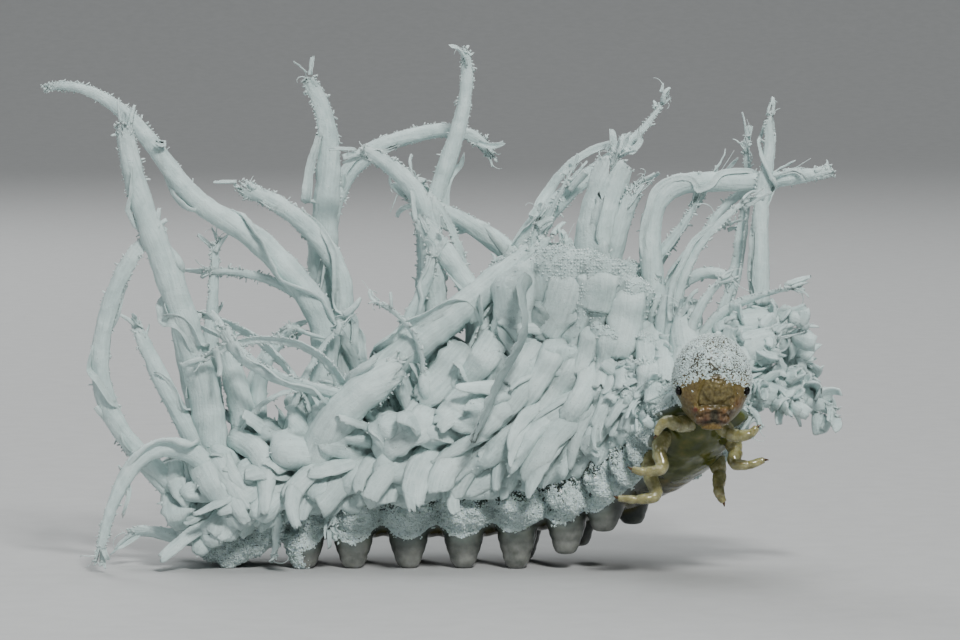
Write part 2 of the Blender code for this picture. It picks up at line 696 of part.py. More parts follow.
def main():
    clear_scene()
    wax = material("wax", (0.86, 0.88, 0.88), 0.85)
    flesh = material("flesh", (0.62, 0.62, 0.36), 0.35)
    chitin = material("chitin", (0.56, 0.36, 0.14), 0.35)
    black = material("black", (0.01, 0.01, 0.01), 0.15)
    thorax = trunk_node("thorax", 0.0, THORAX_END, wax)
    boolean(thorax, [head_ball("clearance", GAP)], "DIFFERENCE")
    trunk_node("abdomen", THORAX_END, ABDOMEN_END, wax)
    trunk_node("tail", ABDOMEN_END, TAIL_END, wax)
    head(chitin)
    for limb in limbs():
        finish(limb, limb.name, flesh)
    for name in ("eye_right", "eye_left"):
        finish(eye(name), name, black)


main()
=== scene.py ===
"""Butternut woollyworm: skin, wax, head and legs of the larva, on a pale floor in soft light.

Shapes are worked out in millimetres and scaled to metres by mesh_piece. The tables of the
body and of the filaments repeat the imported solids, so each form sits where its node is.

q runs along the body from 0 at the head, over 3 at the end of the thorax, to 13 at the tail,
with 1 for each segment. An angle goes round the body in degrees from the ridge of the back,
positive to the left. A heading turns in degrees from +X up to +Z, and a lean goes to +Y.
"""

import math
from collections import namedtuple

import bpy
import numpy as np
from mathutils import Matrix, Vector
from mathutils.kdtree import KDTree


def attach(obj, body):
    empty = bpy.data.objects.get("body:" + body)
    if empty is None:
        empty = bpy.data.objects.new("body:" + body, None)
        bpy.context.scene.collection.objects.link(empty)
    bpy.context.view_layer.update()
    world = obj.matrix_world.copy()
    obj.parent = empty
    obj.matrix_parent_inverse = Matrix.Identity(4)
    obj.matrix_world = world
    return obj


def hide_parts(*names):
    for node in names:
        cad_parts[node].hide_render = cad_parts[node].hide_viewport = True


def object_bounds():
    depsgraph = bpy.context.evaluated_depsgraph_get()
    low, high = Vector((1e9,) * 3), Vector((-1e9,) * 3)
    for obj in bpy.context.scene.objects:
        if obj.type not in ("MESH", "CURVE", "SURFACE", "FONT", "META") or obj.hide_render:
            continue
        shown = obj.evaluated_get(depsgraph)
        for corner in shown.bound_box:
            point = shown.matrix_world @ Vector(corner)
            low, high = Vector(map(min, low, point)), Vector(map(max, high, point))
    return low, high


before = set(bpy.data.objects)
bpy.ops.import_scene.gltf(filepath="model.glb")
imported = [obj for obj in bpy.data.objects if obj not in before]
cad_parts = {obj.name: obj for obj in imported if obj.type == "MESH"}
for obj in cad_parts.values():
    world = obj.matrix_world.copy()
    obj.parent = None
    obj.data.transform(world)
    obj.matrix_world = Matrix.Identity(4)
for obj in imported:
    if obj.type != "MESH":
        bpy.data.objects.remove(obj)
CAD_LOW, CAD_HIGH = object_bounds()

MM = 0.001
# From the origin of the tables here to that of the solids.
SHIFT = np.array((-0.117, 1.398, 0.0))
UP = np.array((0.0, 0.0, 1.0))
SEED = 4
NO_TRIS = np.empty((0, 3), int)
NO_QUADS = np.empty((0, 4), int)

# Middle line of the trunk from tail to head, and the lengths of its segments from the head.
SPINE = (
    (-7.6, 0.0, 0.75),
    (-6.3, 0.0, 1.35),
    (-4.5, 0.2, 1.95),
    (-1.8, 0.35, 2.25),
    (0.9, 0.35, 2.35),
    (3.2, 0.2, 2.6),
    (5.2, -0.15, 3.1),
    (6.8, -0.9, 3.75),
    (7.9, -2.0, 4.5),
    (8.5, -3.2, 5.35),
    (8.8, -4.3, 6.1),
)
SEGMENT_LENGTHS = (1.1, 1.15, 1.2, 1.3, 1.6, 1.75, 1.85, 1.85, 1.9, 1.85, 1.5, 1.0, 1.65)
TAIL_END = 13.0

# q, half width, height with the wax, height of the bare back, depth.
GIRTH = np.array(
    (
        (0.0, 1.05, 1.15, 0.95, 1.05),
        (1.0, 1.5, 2.1, 1.35, 1.35),
        (2.0, 1.75, 3.2, 1.55, 1.5),
        (3.5, 1.9, 4.1, 1.65, 1.6),
        (5.0, 1.9, 3.7, 1.65, 1.6),
        (7.5, 1.75, 2.5, 1.6, 1.55),
        (9.5, 1.6, 1.9, 1.45, 1.4),
        (10.5, 1.45, 1.6, 1.3, 1.3),
        (11.5, 1.25, 1.3, 1.1, 1.0),
        (12.4, 0.95, 0.9, 0.75, 0.65),
        (13.0, 0.4, 0.4, 0.35, 0.3),
    )
)
# Columns of the table of girths after q.
HALF_WIDTH, WAX_HEIGHT, BARE_HEIGHT, DEPTH = 1, 2, 3, 4
# Angles of the side lobes: their middle, their spread, and their top, where tongues end.
LOBE_ANGLE = 115.0
LOBE_SPREAD = 26.0
LOBE_TOP = 86.0

# Filaments: name, q, angle, length, width, tip share, headings, leans, curl of the sheet.
FILAMENTS = (
    ("fan_tall", 12.3, -15, 14.0, 1.15, 0.5, (118, 98, 104, 109, 108, 98), (-8, -8, 0), 300),
    ("fan_bow", 12.5, -45, 12.4, 0.66, 0.8, (150, 134, 132, 108, 80, 66, 40), (-14, -6, 4), 200),
    ("fan_inner", 12.1, 20, 9.4, 0.62, 0.6, (115, 103, 94, 87, 88), (12, 6, 0), 240),
    ("fan_cut", 12.1, -38, 7.6, 0.62, 0.9, (126, 120, 116, 114), (-12, -4, 0), 250),
    ("fan_broad", 11.7, -12, 5.6, 1.0, 0.7, (98, 98, 102, 100), (-4, 0, 4), 300),
    ("fan_slim", 11.3, 0, 6.0, 0.58, 0.7, (96, 94, 90, 66, 30), (0, 0, 0), 200),
    ("fan_hook", 12.4, -30, 4.8, 0.78, 0.6, (110, 70, 0, -60, -92, -105), (-40, -20, 8), 220),
    ("fan_droop", 12.2, -40, 9.4, 0.8, 0.25, (112, 118, 134, 182, 232, 248, 257, 260), (-30, -12, 0), 170),
    ("fan_fray", 12.7, -30, 3.2, 0.8, 0.5, (190, 176, 166, 200), (-12, 0), 150),
    ("long_arch", 9.9, 4, 17.6, 0.98, 0.25, (98, 92, 88, 125, 135, 150, 128, 130, 152, 195), (2, 2, 2), 270),
    ("second_arch", 9.6, 18, 11.2, 0.76, 0.7, (90, 90, 90, 92, 128, 145, 162), (12, 6, 0), 200),
    ("great_roll", 10.5, -34, 12.2, 1.36, 0.6, (85, 56, 40, 38, 37, 37, 36), (-16, 0, 4, 8), 320),
    ("near_roll", 10.45, -64, 6.2, 1.3, 0.8, (80, 64, 46, 30), (-40, -6, 10), 320),
    ("loop_ribbon", 8.9, -30, 8.2, 0.66, 0.7, (96, 104, 150, 166, 158, 138, 104), (-40, -20, 0, 0), 160),
    ("far_roll", 10.2, 38, 10.6, 1.2, 0.6, (70, 50, 42, 40, 42), (24, 2, -4), 300),
    ("far_spire", 9.6, 34, 13.6, 1.3, 0.4, (84, 92, 104, 96, 84, 94, 130), (22, 6, 0), 230),
    ("far_bridge", 9.1, 42, 16.2, 0.8, 0.5, (108, 107, 104, 96, 88, 60, 20, 2, -70), (24, 10, 2), 220),
    ("far_post", 8.0, 28, 13.8, 0.9, 0.35, (94, 90, 92, 90, 72, 78, 98), (18, 4, 0), 270),
    ("bent_stalk", 8.1, -8, 11.0, 0.84, 0.6, (80, 86, 92, 95, 100, 134, 156), (-2, 0, -4), 290),
    ("broken_stub", 6.9, -12, 7.8, 0.66, 1.0, (88, 96, 122, 130), (-6, 0), 240),
    ("curl_thin", 9.0, -20, 7.4, 0.5, 0.7, (84, 80, 64, 84), (-6, 0), 200),
    ("far_slant", 5.9, 24, 9.6, 0.8, 0.6, (92, 96, 146, 158), (14, 4), 260),
    ("leaf_spire", 6.9, 20, 13.6, 1.2, 0.06, (90, 86, 76, 58, 40, 40, 66), (14, 8, 0), 200),
    ("crown_stub", 4.4, -14, 7.4, 1.4, 0.9, (92, 90, 86, 78, 66), (-4, 0), 310),
    ("crown_side", 3.9, -22, 6.0, 0.74, 0.8, (90, 88, 76, 64), (-4, 0), 280),
    ("right_arch", 2.1, 10, 11.4, 0.76, 0.6, (96, 98, 94, 76, 8, 0, 8, 12), (8, 4, 0), 240),
    ("right_post", 1.8, 52, 10.0, 0.8, 0.5, (20, 50, 88, 88, 80, 100), (20, 4, 0), 250),
    ("near_leaf", 1.8, -6, 6.4, 0.52, 0.3, (90, 78, 52, 34), (-6, 0), 200),
    ("near_loop", 2.0, -16, 4.6, 0.5, 0.7, (90, 78, 30, -40), (-8, 0), 200),
    ("twin_long", 6.1, -16, 6.0, 0.52, 0.5, (92, 84, 66, 56), (-6, 0), 240),
    ("twin_short", 6.6, -8, 5.6, 0.52, 0.6, (98, 94, 84), (-2, 0), 240),
    ("leaflet", 5.1, -16, 5.0, 0.86, 0.3, (96, 92, 84), (-4, 0), 250),
    (
        "torn_strip", 5.9, -24, 11.8, 0.62, 0.5,
        (124, 83, 74, 141, 282, 245, 251, 249), (-25, -8, -29, 4, -13), 50,
    ),
    ("blob_top", 1.7, 40, 4.2, 1.6, 0.7, (64, 20, -14), (6, 0), 300),
    ("blob_front", 0.9, 44, 2.8, 1.4, 0.7, (50, 10), (4, 4), 300),
    ("blob_tip", 1.5, 62, 4.8, 1.1, 0.35, (30, 0, -26, -34), (6, 0), 280),
    ("blob_back", 2.3, 50, 5.2, 0.9, 0.6, (50, 24, -20, -70), (16, 4), 280),
    ("blob_low", 0.7, 74, 2.8, 1.1, 0.6, (20, -10, -30), (8, 4), 280),
    ("nape_leaf", 0.8, -6, 2.4, 1.2, 0.4, (104, 98, 92), (30, 10), 240),
)
ROOT_SINK = 0.7
FLOOR_CLEARANCE = 0.2
FILAMENT_STEP = 0.12
FEWEST_STEPS = 24
# Filaments and their chips are two pieces, parted at this q.
REAR_PILE_Q = 9.95
# The torn strip comes out of the wax at this share of its path, and lies nearer than it.
STRIP_START = 0.47
STRIP_WIDTH = 0.58

# Tongues of the flanks: angle from the ridge, length at the front and at the tail, width,
# step from one to the next in q, then set-off and end as shares of outward, backward and
# downward.
TONGUE_ROWS = (
    (8, 2.4, 1.5, 1.15, 0.42, (1.0, 0.35, -0.3), (0.8, 0.6, -0.5)),
    (22, 3.0, 1.9, 1.3, 0.46, (1.0, 0.35, -0.1), (0.6, 0.6, -0.1)),
    (37, 3.2, 2.2, 1.35, 0.46, (1.0, 0.35, 0.1), (0.35, 0.6, 0.35)),
    (50, 3.0, 2.2, 1.25, 0.42, (1.0, 0.4, 0.2), (0.15, 0.65, 0.7)),
    (61, 2.5, 1.8, 1.15, 0.4, (1.0, 0.4, 0.3), (0.0, 0.6, 1.0)),
    (71, 1.7, 1.0, 0.95, 0.36, (0.9, 0.4, 0.4), (-0.15, 0.5, 1.0)),
)
# Width and pointedness of the tongues by q.
TONGUE_WIDTH = ((0.3, 3.0, 5.0, 7.0, 10.0, 12.8), (0.45, 0.6, 0.72, 1.0, 1.05, 0.7))
TONGUE_POINT = ((0.3, 5.5, 7.5, 12.8), (0.6, 0.5, 0.12, 0.2))

# Broad upright sheets over the front of the back: q, angle, length, width, headings, leans.
PLATES = (
    (6.35, -22, 5.3, 1.7, (96, 90, 90), (-18, -7)),
    (5.8, -24, 5.3, 2.2, (92, 92, 90), (-20, -6)),
    (5.1, -24, 5.2, 2.4, (96, 92, 86), (-22, -6)),
    (4.5, -26, 4.7, 2.3, (100, 88, 76), (-24, -9)),
    (3.9, -26, 4.0, 2.1, (100, 86, 64), (-26, -10)),
    (3.3, -28, 3.1, 1.8, (96, 80, 56), (-26, -8)),
    (6.6, -44, 3.4, 1.5, (112, 96, 84), (-34, -8)),
    (5.2, -44, 2.6, 1.6, (100, 90, 80), (-40, -10)),
    (4.1, -44, 2.4, 1.5, (92, 80, 66), (-40, -10)),
    (5.5, 6, 4.8, 2.0, (94, 90, 84), (-4, 0)),
    (4.4, 8, 4.2, 2.0, (92, 88, 76), (0, 4)),
    (3.4, -8, 3.2, 1.6, (92, 84, 64), (-6, 0)),
    (6.0, 30, 4.2, 2.0, (96, 92, 86), (20, 8)),
    (4.8, 32, 3.8, 2.0, (96, 88, 80), (24, 8)),
    (3.7, 34, 3.0, 1.7, (92, 82, 66), (26, 8)),
)

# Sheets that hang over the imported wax: x, z, length, width, headings, curl, tone. Those with
# x under ROSETTE_X are the petals of the tail's rosette, which stand off more and taper.
VEILS = (
    (5.4, 10.1, 1.5, 1.5, (268, 262, 255), 60, 0.98),
    (4.5, 10.3, 2.8, 1.3, (262, 250, 240), 60, 0.95),
    (6.4, 9.7, 2.7, 1.2, (270, 260, 246), 80, 0.97),
    (7.4, 9.4, 1.8, 1.1, (272, 262, 250), 130, 0.98),
    (8.3, 9.0, 2.4, 1.0, (272, 268, 264), 140, 0.98),
    (4.9, 8.9, 2.0, 0.8, (222, 214, 208), 90, 0.86),
    # This sheet's low tone paints it grey: painted shade.
    (4.0, 8.9, 1.4, 1.2, (250, 240, 235), 40, 0.42),
    (5.2, 8.3, 1.9, 0.7, (262, 255, 245), 110, 0.93),
    (5.8, 8.2, 2.2, 0.8, (268, 260, 252), 110, 0.96),
    (6.4, 8.3, 2.3, 0.9, (272, 266, 258), 120, 0.96),
    (7.0, 7.9, 2.0, 0.8, (275, 268, 262), 140, 0.98),
    (4.1, 7.8, 2.6, 0.9, (250, 240, 232), 100, 0.93),
    (4.8, 7.4, 2.6, 0.9, (250, 238, 230), 100, 0.95),
    (5.5, 7.2, 2.6, 0.9, (252, 240, 232), 100, 0.95),
    (3.6, 8.0, 2.2, 0.8, (245, 236, 230), 100, 0.92),
    (6.2, 7.0, 2.4, 0.8, (256, 246, 238), 110, 0.96),
    (3.3, 6.8, 2.4, 0.9, (240, 232, 228), 100, 0.95),
    (6.8, 6.6, 2.0, 0.7, (262, 252, 244), 120, 0.97),
    (2.6, 6.0, 2.2, 0.9, (236, 228, 224), 100, 0.95),
    (7.2, 7.3, 1.6, 0.7, (276, 266, 258), 150, 0.98),
    (7.5, 7.9, 1.5, 0.7, (280, 272, 264), 150, 0.98),
    (7.9, 8.3, 1.2, 0.8, (276, 270, 264), 150, 0.98),
    (4.1, 6.4, 2.2, 0.8, (238, 230, 226), 100, 0.95),
    (5.1, 5.9, 2.2, 0.8, (240, 232, 228), 110, 0.95),
    (5.9, 5.7, 2.0, 0.7, (246, 238, 232), 120, 0.96),
    (2.2, 8.0, 2.2, 1.0, (240, 236, 232), 60, 0.9),
    (1.2, 7.4, 2.6, 1.4, (232, 226, 220), 60, 0.93),
    (1.7, 6.5, 2.4, 1.3, (232, 224, 218), 60, 0.92),
    (0.7, 6.2, 2.2, 1.2, (226, 218, 212), 60, 0.92),
    (0.2, 5.4, 2.0, 1.2, (222, 214, 208), 60, 0.94),
    (-0.5, 4.9, 1.8, 1.1, (218, 210, 204), 60, 0.95),
    (-8.8, 3.6, 1.7, 0.8, (278, 298, 315), 80, 0.94),
    (-8.1, 4.0, 2.5, 1.0, (302, 304, 308), 90, 0.9),
    (-7.55, 4.1, 2.5, 0.8, (302, 306, 310), 110, 0.93),
    (-7.1, 3.9, 1.8, 0.6, (300, 304, 306), 130, 0.95),
    (-8.5, 2.6, 1.3, 1.2, (268, 280, 292), 70, 0.97),
    (-8.6, 1.3, 2.3, 0.9, (350, 358, 8), 150, 0.95),
    (-6.7, 2.6, 1.1, 0.6, (296, 300, 304), 150, 0.96),
    (-6.9, 4.35, 3.2, 0.85, (350, 330, 286, 268, 262), 190, 0.98),
)
ROSETTE_X = -5
VEIL_STEPS = 18
VEIL_CELL = 0.15

# Thin strips that the solids leave out: q, angle, length, width, headings, leans, curl.
THIN_STRIPS = (
    (12.0, -24, 6.4, 0.42, (112, 96, 60, 20, -10), (-14, -4, 0), 120),
    (11.9, -10, 5.6, 0.4, (100, 84, 40, 4, -16), (-6, 0, 4), 120),
    (12.6, -20, 5.6, 0.44, (150, 140, 128, 120), (-20, -8, 0), 160),
    (12.3, 26, 8.8, 0.46, (124, 112, 104, 100, 96), (16, 6, 0), 160),
    (12.0, 30, 7.0, 0.4, (100, 92, 84, 60, 30), (14, 6, 0), 120),
    (11.6, -34, 4.4, 0.44, (84, 40, -10, -60, -86), (-40, -16, 0), 140),
    (10.9, -20, 6.2, 0.5, (84, 78, 64, 44), (-20, 0, 4), 200),
    (10.0, -14, 7.6, 0.46, (96, 104, 126, 150, 170), (-16, -6, 0), 140),
    (9.4, -24, 8.6, 0.44, (92, 96, 120, 160, 190, 214), (-30, -10, 0), 120),
    (9.2, 10, 9.6, 0.44, (90, 96, 120, 140, 164, 186), (6, 2, 0), 120),
    (8.7, -34, 6.4, 0.4, (80, 66, 84, 120, 160), (-34, -10, 0), 120),
    (8.4, 14, 9.2, 0.46, (92, 88, 84, 92, 110), (10, 4, 0), 180),
    (7.6, -18, 6.6, 0.4, (88, 80, 60, 30), (-14, -4, 0), 140),
    (7.3, 6, 9.0, 0.44, (92, 90, 96, 110, 140), (4, 0), 160),
    (6.4, 18, 8.8, 0.42, (92, 84, 70, 60), (10, 6), 160),
    (5.6, -10, 6.4, 0.42, (94, 100, 92, 70), (-8, 0), 160),
    (5.0, 6, 7.6, 0.5, (90, 80, 66, 40), (4, 0), 200),
    (4.6, 20, 7.8, 0.5, (90, 84, 78, 90), (12, 4), 220),
    (3.6, -8, 6.2, 0.46, (84, 66, 50, 70), (-4, 0), 200),
    (3.2, 14, 6.8, 0.5, (86, 70, 56, 60), (10, 2), 200),
    (2.7, 0, 5.6, 0.44, (84, 70, 50, 20), (2, 0), 180),
    (2.4, 22, 8.2, 0.46, (84, 70, 62, 40, 10), (12, 4), 180),
    (2.0, 40, 8.6, 0.5, (40, 62, 80, 84, 100), (20, 6), 200),
    (1.4, 20, 4.8, 0.5, (70, 50, 20, 10), (10, 0), 200),
    (1.1, 0, 3.4, 0.44, (90, 70, 40), (0, 0), 160),
    (0.8, 92, 1.8, 0.3, (30, 0, -50, -90), (-10, -10), 120),
)

# Where packed scraps of sheet sit: q, angle, size, count.
LUMPS = (
    (1.0, 48, 0.8, 20),
    (1.8, 36, 0.85, 22),
    (2.3, 62, 0.8, 16),
    (1.2, 8, 0.7, 18),
    (1.9, -16, 0.75, 20),
    (1.1, -34, 0.6, 18),
    (1.6, -58, 0.6, 22),
    (2.8, -10, 0.75, 16),
    (2.7, -40, 0.7, 16),
    (0.7, 82, 0.55, 12),
    (0.6, 96, 0.34, 8),
    (0.9, -80, 0.45, 12),
)

# Abdominal segments that bear prolegs, and how high each foot stands.
PROLEGS = ((2, 1.3), (3, 0.5), (4, 0.0), (5, 0.0), (6, 0.0), (7, 0.0), (8, 0.0), (10, 0.0))
PROLEG_SPREAD = 0.95
PROLEG_SPLAY = 0.25
PROLEG_RADIUS = 0.6
LAST_PROLEG_SCALE = 0.7

# Plump lobes under the tail's end: x, y, z and half sizes.
TAIL_LOBES = (
    (-7.25, 0.5, 0.52, (0.62, 0.45, 0.38)),
    (-6.6, 0.85, 0.5, (0.5, 0.4, 0.36)),
    (-6.1, 0.95, 0.75, (0.5, 0.42, 0.4)),
    (-5.65, 1.0, 1.15, (0.46, 0.42, 0.46)),
    (-5.35, 1.05, 1.65, (0.42, 0.42, 0.5)),
)

# Legs: number, side, q and angle of the root, then heading, lean and length of the bends.
LEGS = (
    (1, -1, 0.5, 150, ((184, -54, 0.35), (150, -24, 0.35), (215, -10, 0.35), (250, 0, 0.3))),
    (2, -1, 1.4, 128, ((250, -39, 0.3), (285, -27, 0.6), (190, -8, 0.6), (169, 0, 0.45))),
    (3, -1, 2.4, 128, ((262, -42, 0.35), (290, -19, 0.8), (190, -7, 0.7), (175, 0, 0.6))),
    (1, 1, 0.5, 150, ((310, -45, 0.3), (350, -40, 0.4), (12, -16, 0.4), (49, 0, 0.3))),
    (2, 1, 1.4, 128, ((290, -35, 0.35), (255, -40, 0.5), (354, -11, 0.5), (19, 0, 0.55))),
    (3, 1, 2.4, 135, ((285, -30, 0.35), (262, -40, 0.6), (285, -10, 0.3), (300, 0, 0.2))),
)
LEG_RADII = (0.38, 0.28, 0.23, 0.18, 0.12)

HEAD_CENTRE = np.array((8.96, -5.7, 6.6))
HEAD_HALF = np.array((1.28, 1.3, 1.55))
EYE_RADIUS = 0.15
# Place of an eye on the head: to the side and up from its centre.
EYE_PLACE = (1.09, -0.23)

# Fine forms stay this far inside the box of the solids.
INSIDE_MARGIN = 0.12
INSIDE_LOW = np.array(CAD_LOW) / MM - SHIFT + INSIDE_MARGIN
INSIDE_HIGH = np.array(CAD_HIGH) / MM - SHIFT - INSIDE_MARGIN
# Wax rests at least this high, so that it doesn't flicker in the floor.
LOWEST_WAX = 0.01

# Voxel sizes of the surfaces that are melted from many parts.
SKIN_VOXEL = 0.068
DRAPE_VOXEL = 0.104
HEAD_VOXEL = 0.03
LEG_VOXEL = 0.035

# On the bake map a tuft is a patch of this size, kept off the map's edge.
TUFT_PATCH = 0.003
MAP_EDGE = 0.004
# Tufts draw their place in the pattern of fibres from this range.
LAY_RANGE = 40

# Flesh under the wax: the field that brings a colour in, and its stops from dark to light.
FLESH_COLOURS = (
    ("throat", (0.3, (0.036, 0.05, 0.006)), (0.55, (0.075, 0.088, 0.012)), (0.75, (0.135, 0.122, 0.02))),
    # The prolegs' stubs are dark smoky grey: partly their own glassy colour, partly painted shade of their
    # place under the body.
    ("stub", (0.3, (0.022, 0.028, 0.026)), (0.7, (0.055, 0.064, 0.06))),
    ("tip", (0.3, (0.1, 0.11, 0.1)), (0.7, (0.24, 0.25, 0.23))),
)

# Area lights: name, place and size in metres, power, colour.
LIGHTS = (
    ("key", (0.07, -0.2, 0.2), 0.05, 0.82, (1.0, 0.99, 0.97)),
    ("fill", (-0.22, -0.14, 0.1), 0.12, 0.07, (0.92, 0.97, 1.0)),
    ("rim", (-0.08, 0.2, 0.16), 0.1, 0.25, (1.0, 1.0, 1.0)),
    ("back", (0.0, 0.1, 0.6), 0.5, 2.0, (1.0, 1.0, 1.0)),
)
LIGHT_AIM = Vector((0.002, 0.0, 0.006))

# The camera's aim and distance in metres, and its rise over the horizon in degrees.
VIEW_AIM = Vector((1.383, 1.398, 8.2)) * MM
VIEW_DISTANCE = 0.16
VIEW_RISE = 4.0

SIDES = (("right", -1), ("left", 1))
TRUNK_NODES = ["thorax", "abdomen", "tail"]
PROLEG_NODES = [f"proleg_{word}_a{segment}" for word, _ in SIDES for segment, _ in PROLEGS]
LEG_NODES = [f"leg_{word}_{number}" for word, _ in SIDES for number in (1, 2, 3)]

# What is known of a torn sheet: points of its edges, ways out of them, shares along it, its
# root's q and angle, and its path.
Torn = namedtuple("Torn", "points ways along q angle path")


def unit(v):
    return v / np.maximum(np.linalg.norm(v, axis=-1, keepdims=True), 1e-9)


def stacked(*values):
    """Values of unlike shapes, broadcast and set side by side on a new last axis."""
    return np.stack(np.broadcast_arrays(*values), -1)


def smoothstep(low, high, x):
    t = np.clip((x - low) / (high - low), 0.0, 1.0)
    return t * t * (3 - 2 * t)


def bell(x, middle, width):
    """1 at the middle, falling away to both sides."""
    return np.exp(-(((x - middle) / width) ** 2))


def catmull(knots, t):
    """Smooth values at t from 0 to 1 through equally spaced knots."""
    knots = np.asarray(knots, float)
    knots = np.concatenate([[2 * knots[0] - knots[1]], knots, [2 * knots[-1] - knots[-2]]])
    place = np.clip(t, 0.0, 1.0) * (len(knots) - 3)
    i = np.minimum(place.astype(int), len(knots) - 4)
    f = place - i
    if knots.ndim > 1:
        f = f[..., None]
    a, b, c, d = knots[i], knots[i + 1], knots[i + 2], knots[i + 3]
    return 0.5 * (2 * b + (c - a) * f + (2 * a - 5 * b + 4 * c - d) * f**2 + (3 * b - a - 3 * c + d) * f**3)


LINE = catmull(SPINE[::-1], np.linspace(0, 1, 241))
AT = np.concatenate([[0.0], np.cumsum(np.linalg.norm(np.diff(LINE, axis=0), axis=1))])
ENDS = np.concatenate([[0.0], np.cumsum(SEGMENT_LENGTHS)])
ENDS *= AT[-1] / ENDS[-1]


def centre(q):
    along = np.interp(q, np.arange(14), ENDS)
    return np.stack([np.interp(along, AT, LINE[:, i]) for i in range(3)], -1)


def axes(q):
    """Forward, up and left at q."""
    ahead = unit(centre(q - 0.25) - centre(q + 0.25))
    up = unit(UP - ahead * ahead[..., 2:3])
    return ahead, up, np.cross(up, ahead)


def girth(q, column):
    return np.interp(q, GIRTH[:, 0], GIRTH[:, column])


def surface(q, angle, grow=0.0, height=WAX_HEIGHT):
    """Point of the trunk's surface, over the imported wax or, with BARE_HEIGHT, the bare back."""
    q, angle = np.broadcast_arrays(np.asarray(q, float), np.asarray(angle, float))
    _, up, left = axes(q)
    a = np.radians(angle)
    fold = np.abs(np.sin(np.pi * q))
    swell = 1.0 + 0.14 * bell(np.abs(angle), LOBE_ANGLE, LOBE_SPREAD) * (1.6 * fold - 0.6)
    vertical = np.where(np.cos(a) > 0, girth(q, height), girth(q, DEPTH))
    across = np.sin(a) * (girth(q, HALF_WIDTH) * swell + grow)
    upward = np.cos(a) * (vertical * swell + grow)
    return centre(q) + left * across[..., None] + up * upward[..., None]


def outward(q, angle):
    across = surface(q, angle + 2.0) - surface(q, angle - 2.0)
    return -unit(np.cross(across, axes(q)[0]))


def trunk_grid(low, high, rings, sides):
    """Grid of q from low to high and of angles all round the trunk."""
    return np.meshgrid(np.linspace(low, high, rings), np.linspace(-180, 180, sides + 1)[:-1], indexing="ij")


def unwrap(q, angle):
    """Place on the bake map, which unrolls the trunk."""
    return stacked(q / TAIL_END, (angle + 180) / 360)


def ripple(points, size, seed, octaves=3):
    """Smooth noise of about -1 to 1 with features of the given size in millimetres."""
    rng = np.random.default_rng(seed)
    total = np.zeros(points.shape[:-1])
    weight = 0.0
    for octave in range(octaves):
        for _ in range(6):
            way = rng.normal(size=3)
            way *= 2 * math.pi / size * 2**octave * rng.uniform(0.6, 1.4) / np.linalg.norm(way)
            total += np.sin(points @ way + rng.uniform(0, 6.28)) * 0.6**octave
        weight += 6 * 0.36**octave / 2
    return total / math.sqrt(weight) / 1.6


def ring_angles(sides, offset=0.0):
    """Angles of the points of a ring, set off by a share of a step."""
    return 2 * np.pi * (np.arange(sides) + offset) / sides


def tube_faces(tubes, rings, sides):
    """Quads and end triangles of many equal tubes, each with two pole points after its rings."""
    base = (np.arange(tubes) * (rings * sides + 2))[:, None, None]
    r = np.arange(rings - 1)[None, :, None] * sides
    i = np.arange(sides)[None, None, :]
    j = (i + 1) % sides
    quads = stacked(base + r + i, base + r + sides + i, base + r + sides + j, base + r + j)
    i, j, base = i[0], j[0], base[:, :, 0]
    last = (rings - 1) * sides
    start = stacked(base + rings * sides, base + i, base + j)
    end = stacked(base + rings * sides + 1, base + last + j, base + last + i)
    return quads.reshape(-1, 4), np.concatenate([start.reshape(-1, 3), end.reshape(-1, 3)])


def with_poles(body):
    """Points of tubes (..., rings, sides, 3) in one row, with the middles of both ends after them."""
    ends = np.stack([body[..., 0, :, :].mean(-2), body[..., -1, :, :].mean(-2)], -2)
    return np.concatenate([body.reshape(*body.shape[:-3], -1, 3), ends], -2)


def frames(paths, normals):
    """Directions, sides and normals along paths (tubes, rings, 3) from each first normal."""
    ways = unit(np.gradient(paths, axis=1))
    out = np.empty_like(paths)
    normal = normals
    for r in range(paths.shape[1]):
        way = ways[:, r]
        normal = unit(normal - way * (normal * way).sum(-1, keepdims=True))
        out[:, r] = normal
    return ways, np.cross(ways, out), out


def sweep(paths, normals, x, y):
    """Points of closed tubes whose rings are offset by x to the side and y along the normal."""
    _, side, normal = frames(paths, normals)
    body = paths[:, :, None] + side[:, :, None] * x[..., None] + normal[:, :, None] * y[..., None]
    return with_poles(body)


def round_tubes(paths, normals, radius, sides, flat=1.0):
    """Points of closed tubes of round section, made narrower to the side by flat."""
    a = ring_angles(sides)
    return sweep(paths, normals, np.cos(a) * radius[..., None] * flat, np.sin(a) * radius[..., None])


def blunt_end(t, span, power, least):
    """Share of the width at t from 0 to 1: full, then rounded off over the last span."""
    return np.sqrt(np.clip(1 - np.clip((t - (1 - span)) / span, 0, 1) ** power, least, 1))


def curling_line(start, way, axis, turns, step):
    """Line that turns about an axis by one amount after another, in equal steps."""
    line = [start]
    for turn in turns:
        way = unit(way + np.cross(axis, way) * turn)
        line.append(line[-1] + way * step)
    return np.array(line)


